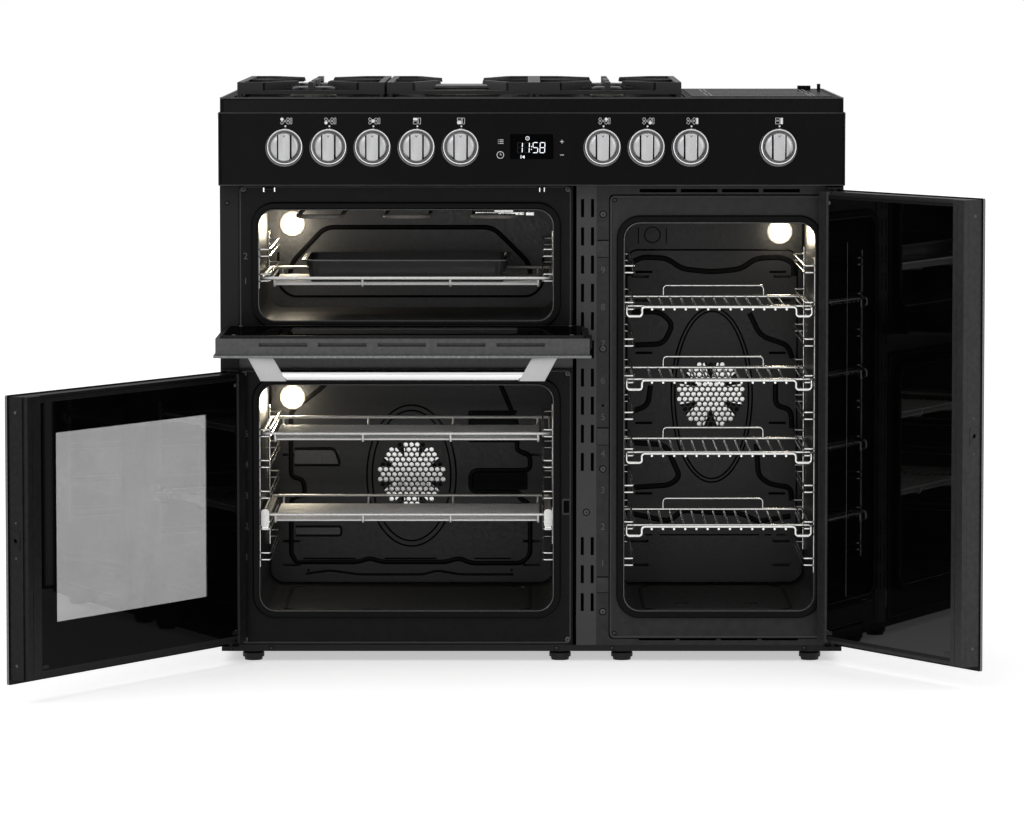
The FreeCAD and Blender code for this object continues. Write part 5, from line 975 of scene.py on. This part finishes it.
@on_cabinet("oven_enamel", highlight_paint, shadow_black)
def front_screws(bm):
    """Screws of the frames, of the strip beside the tall oven and of the base rail."""
    frames = [(x, z) for z in (762, 530, 466, 36) for x in (-462, 58)]
    strip = [(114.5, 722), (114.5, 506), (114.5, 312), (114.5, 81), (88, 242), (484, 700), (484, 60)]
    corners = [(x, z) for z in (745, 46) for x in (133, 469)]
    sides = [(-488, 740), (-488, 300), (488, 300)]
    rail = [(x, 22) for x in (-485, -420, 40, 130, 440, 485)]
    for y, radius, places in ((FRAMES, 4.4, frames + strip), (RAISED_FRAME, 2.4, corners),
                              (FRAMES, 2.4, sides), (FRAMES, 2.2, rail)):
        for x, z in places:
            screw(bm, x, y, z, radius)


@on_cabinet("oven_enamel", pillar_coat, shadow_black, highlight_rim)
def frame_beads(bm):
    """Folded rims of the tall oven's raised front frame and of the two left frames, painted lighter as
    highlights, with a painted shade line outside each.
    """
    for x, z, y, thick in (((127.5, 475.5), (40.5, 750.5), RAISED_FRAME, 1.9),
                           ((-467, 62), (31, 470), FRAMES, 1.2), ((-467, 62), (526, 766), FRAMES, 1.2)):
        for paint, out, share in ((0, 0, 1.0), (1, 2.2, 0.6)):
            hoop(bm, rounded(*grown((x, z), out), 6), "y", y + out * 0.6, thick * share, 10, paint=paint)
    # The tall frame's right rim: a line painted light grey as its highlight.
    tube(bm, [Vector((477.2, RAISED_FRAME - 0.6, z)) for z in (48, 743)], 1.5, paint=2)


@on_cabinet("seal_rubber", highlight_lip_rubber)
def seal_lips(bm):
    """A fine bead round the inner edge of each seal, painted light grey as its highlight."""
    for mouth in (((-438, 35), (551, 730)), ((-438, 35), (83, 449)), ((148, 455), (83, 709))):
        hoop(bm, rounded(*grown(mouth, -0.2), 26), "y", -264.6, 0.9)


@on_cabinet("bright_steel", bright_zinc, nylon)
def door_catches(bm):
    """Roller catches over the grill: a roller between two thin cheeks."""
    cheek = [(-262, 758.4), (-254.8, 758.4), (-254.8, 767), (-260, 767), (-262, 765)]
    for left, right in ((-430, -411), (12, 21)):
        for edge in (left, right - 1.6):
            prism(bm, cheek, "x", edge, edge + 1.6)
        roller = [(0, left + 1.4), (2.8, left + 1.4), (2.8, right - 1.4), (0, right - 1.4)]
        lathe(bm, roller, (-259, 762.6), "x", 20, paint=1)


@on_cabinet("dark_steel", shadow_black)
def vent_baffles(bm):
    """Folded plates that close the ducts behind the tall oven's vents, painted shade-black."""
    for low, high in ((28, 37), (742, 768)):
        outline = [(-238, low), (-236.8, low), (-236.8, high - 1.2), (-225, high - 1.2), (-225, high),
                   (-238, high)]
        prism(bm, outline, "x", 128, 474)


@on_cabinet("oven_enamel", painted_steel, shadow_black)
def latch_throats(bm):
    """Latch throat in the main oven's frame, and the plates and hole in the strip beside the tall oven; the
    throat, the hole and lines along the plates are painted shade-black.
    """
    x, z = 56, 251
    throat = rounded(span(x, 4.6), span(z, 10), 1)
    frame_prism(bm, rounded(span(x, 7), span(z, 13), 2), throat, "y", FRAMES - 1.2, FRAMES + 0.2)
    prism(bm, throat, "y", FRAMES - 0.3, FRAMES + 0.2, paint=1)
    across = (105.4, 123.6)
    for low, high in ((112.3, 136.2), (351.3, 377.4), (653.5, 679.4)):
        prism(bm, rounded(across, (low, high), 1, 2), "y", FRAMES - 0.7, FRAMES + 0.2, bevel=0.3)
        for level, half in ((high + 1, 0.9), (low - 0.6, 0.5)):
            prism(bm, oblong(across, span(level, half)), "y", FRAMES - 0.2, FRAMES + 0.2, paint=1)
    prism(bm, disc(114.5, 414.4, 2.2, 16), "y", FRAMES - 0.2, FRAMES + 0.2, paint=1)


# ---- below and behind --------------------------------------------------------------------------------------

GAS_INLET = (222, 832)
CABLE_GLAND = (360, 125)


@on_cabinet("foot_plastic", nylon, replaces=["levelling_feet"])
def feet(bm):
    profile = [(0, 0), (13.6, 0), (14.4, 0.8), (14.6, 4.6), (17.3, 5.4), (17.5, 6.2), (17.5, 11.8),
               (16.8, 12.6), (12, 12.9), (11, 13.6), (11, 17)]
    for x in (-450, 46, 146, 450):
        for y in (-225, 230):
            lathe(bm, profile, (x, y), "z")


@on_cabinet("gear_metal", brass, nylon, zinc_plate)
def rear_fittings(bm):
    """Lock nuts of the gas inlet and the cable gland, the inlet's thread, and the rear panel's screws."""
    frame_prism(bm, disc(*GAS_INLET, 17, 6), disc(*GAS_INLET, 10.2, 6), "y", 277, 283)
    for turn in range(6):
        y = 284.4 + turn * 2.1
        lathe(bm, [(9.6, y - 0.9), (10.45, y), (9.6, y + 0.9)], GAS_INLET, "y", 40)
    frame_prism(bm, disc(*CABLE_GLAND, 17, 12), disc(*CABLE_GLAND, 13.1, 12), "y", 277, 283, paint=1)
    for x in (-485, -160, 160, 485):
        for z in (60, 450, 860):
            lathe(bm, [(3.4, 276.6), (3.4, 277.8), (2.2, 278.6), (0, 278.7)], (x, z), "y", 16, paint=2)


# ---- finishes of the parts that keep their own shape -------------------------------------------------------

FINISHES = {
    powder_coat: ["base_frame", "outer_casing", "door_hinges"],
    pillar_coat: ["centre_pillar"],
    oven_enamel: ["fan_covers"],
    silicone: ["door_seals"],
    hob_enamel: ["hob_tray"],
    glass_ceramic: ["ceramic_plate"],
    cast_iron: ["pan_support_left", "pan_support_wok", "pan_support_right"],
    lacquer: ["control_panel"],
    zinc_plate: ["control_gear", "fan_motors"],
    chromed_wire: ["side_racks", "tall_shelf_1", "tall_shelf_2", "tall_shelf_3", "tall_shelf_4"],
    nickel_wire: ["main_shelf_lower"],
    lit_nickel_wire: ["grill_rack", "main_shelf_upper"],
    sheath_steel: ["heating_elements"],
    pan_enamel: ["grill_pan"],
    painted_steel: ["tall_door_frame"],
    shaded_paint: ["main_door_frame"],
    brass: [f"spindle_{name}" for name in ("left_rear", "left_front", "wok", "right_rear", "right_front")],
}


def finish_faces(node, *materials):
    """Gives a node these materials instead of its own, and returns its faces."""
    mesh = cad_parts[node].data
    mesh.materials.clear()
    for material in materials:
        mesh.materials.append(material)
    return mesh.polygons


for material, nodes in FINISHES.items():
    for node in nodes:
        finish_faces(node, material)

# Each oven is one pressing: its front frame is black, and its walls behind the seal are painted a lighter grey
# as light.
SEAL_DEPTH = -0.25
for oven, front in (("grill", frame_enamel), ("main", frame_enamel), ("tall", lit_tall_frame_enamel)):
    for face in finish_faces(f"{oven}_cavity", front, lit_wall_enamel):
        face.material_index = 1 if face.center.y > SEAL_DEPTH else 0

# The open grill door's frame: its front strip is painted lighter as light, and the faces that look up and down
# darker as shade.
for face in finish_faces("grill_door_frame", lit_grill_paint, shaded_paint):
    face.material_index = 0 if face.normal.y < -0.5 else 1

# ---- studio ------------------------------------------------------------------------------------------------


def seen_background(tree):
    """1 where the camera, a reflection or a pane looks, else 0."""
    rays = add(tree, "ShaderNodeLightPath").outputs
    seen = add(tree, "ShaderNodeMath", {0: rays["Is Camera Ray"], 1: rays["Is Glossy Ray"]}, operation="ADD")
    through = add(tree, "ShaderNodeMath", {0: seen.outputs[0], 1: rays["Is Transmission Ray"]},
                  operation="ADD", use_clamp=True)
    return through.outputs[0]


def studio_floor():
    """White paper that keeps a soft shadow."""
    mesh = bpy.data.meshes.new("floor")
    side = 30
    corners = [(x, y, 0) for x, y in oblong((-side, side), (-side, side))]
    mesh.from_pydata(corners, [], [(0, 1, 2, 3)])
    floor = bpy.data.objects.new("floor", mesh)
    bpy.context.scene.collection.objects.link(floor)
    paper = surface("studio_floor", "#f4f4f4", 400, (0.9, 1.0), ("#f3f3f3", "#f5f5f5"),
                    Specular_IOR_Level=0.0)
    tree = paper.node_tree
    shader = tree.nodes["Principled BSDF"]
    shine = add(tree, "ShaderNodeMath", {0: seen_background(tree), 1: 0.5}, operation="MULTIPLY")
    tree.links.new(shine.outputs[0], shader.inputs["Emission Strength"])
    shader.inputs["Emission Color"].default_value = (1, 1, 1, 1)
    mesh.materials.append(paper)


def studio_world():
    """White where it is seen, and a plain soft light everywhere else."""
    world = bpy.data.worlds.new("studio")
    bpy.context.scene.world = world
    world.use_nodes = True
    tree = world.node_tree
    tree.nodes.clear()
    strength = add(tree, "ShaderNodeMapRange", {"Value": seen_background(tree), "To Min": 0.75,
                                                "To Max": 1.0})
    sky = add(tree, "ShaderNodeBackground", {"Color": (1, 1, 1, 1), "Strength": strength.outputs["Result"]})
    add(tree, "ShaderNodeOutputWorld", {"Surface": sky.outputs["Background"]})


def soft_box(name, place, aim, size, power):
    light = bpy.data.lights.new(name, "AREA")
    light.shape = "RECTANGLE"
    light.size, light.size_y = size
    light.energy = power
    lamp = bpy.data.objects.new(name, light)
    lamp.location = place
    lamp.rotation_euler = (Vector(aim) - Vector(place)).to_track_quat("-Z", "Y").to_euler()
    bpy.context.scene.collection.objects.link(lamp)


def oven_light(name, x, y, z, power):
    light = bpy.data.lights.new(name, "POINT")
    light.energy = power
    light.color = linear("#fff1d6")[:3]
    light.shadow_soft_size = 0.02
    lamp = bpy.data.objects.new(name, light)
    lamp.location = (x / 1000, y / 1000, z / 1000)
    bpy.context.scene.collection.objects.link(lamp)


def studio_camera():
    """The camera at the photograph's viewing angle."""
    camera = bpy.data.cameras.new("camera")
    camera.sensor_width = 36
    camera.lens = 194.34
    camera.shift_x = -0.01173
    camera.clip_end = 100
    holder = bpy.data.objects.new("camera", camera)
    holder.location = (-0.0123, -9.113, 1.1315)
    holder.rotation_euler = (math.radians(90 - 4.669), 0, 0)
    bpy.context.scene.collection.objects.link(holder)
    bpy.context.scene.camera = holder


studio_floor()
studio_world()
studio_camera()
soft_box("key", (-2.6, -4.0, 3.4), (0, -0.2, 0.5), (1.6, 2.4), 34)
soft_box("fill", (3.2, -3.4, 2.0), (0.2, -0.2, 0.5), (1.4, 2.2), 18)
soft_box("left_strip", (-0.82, -6.0, 0.65), (-0.5, -0.3, 0.6), (0.4, 1.4), 6)
soft_box("right_strip", (0.9, -6.0, 0.65), (0.5, -0.3, 0.6), (0.2, 1.4), 1.8)
for number, ((x, z), power) in enumerate(zip(LAMPS, (0.8, 0.8, 0.48)), start=1):
    oven_light(f"oven_light_{number}", x, WALLS - 30, z, power)
bpy.context.scene.view_settings.view_transform = "Standard"
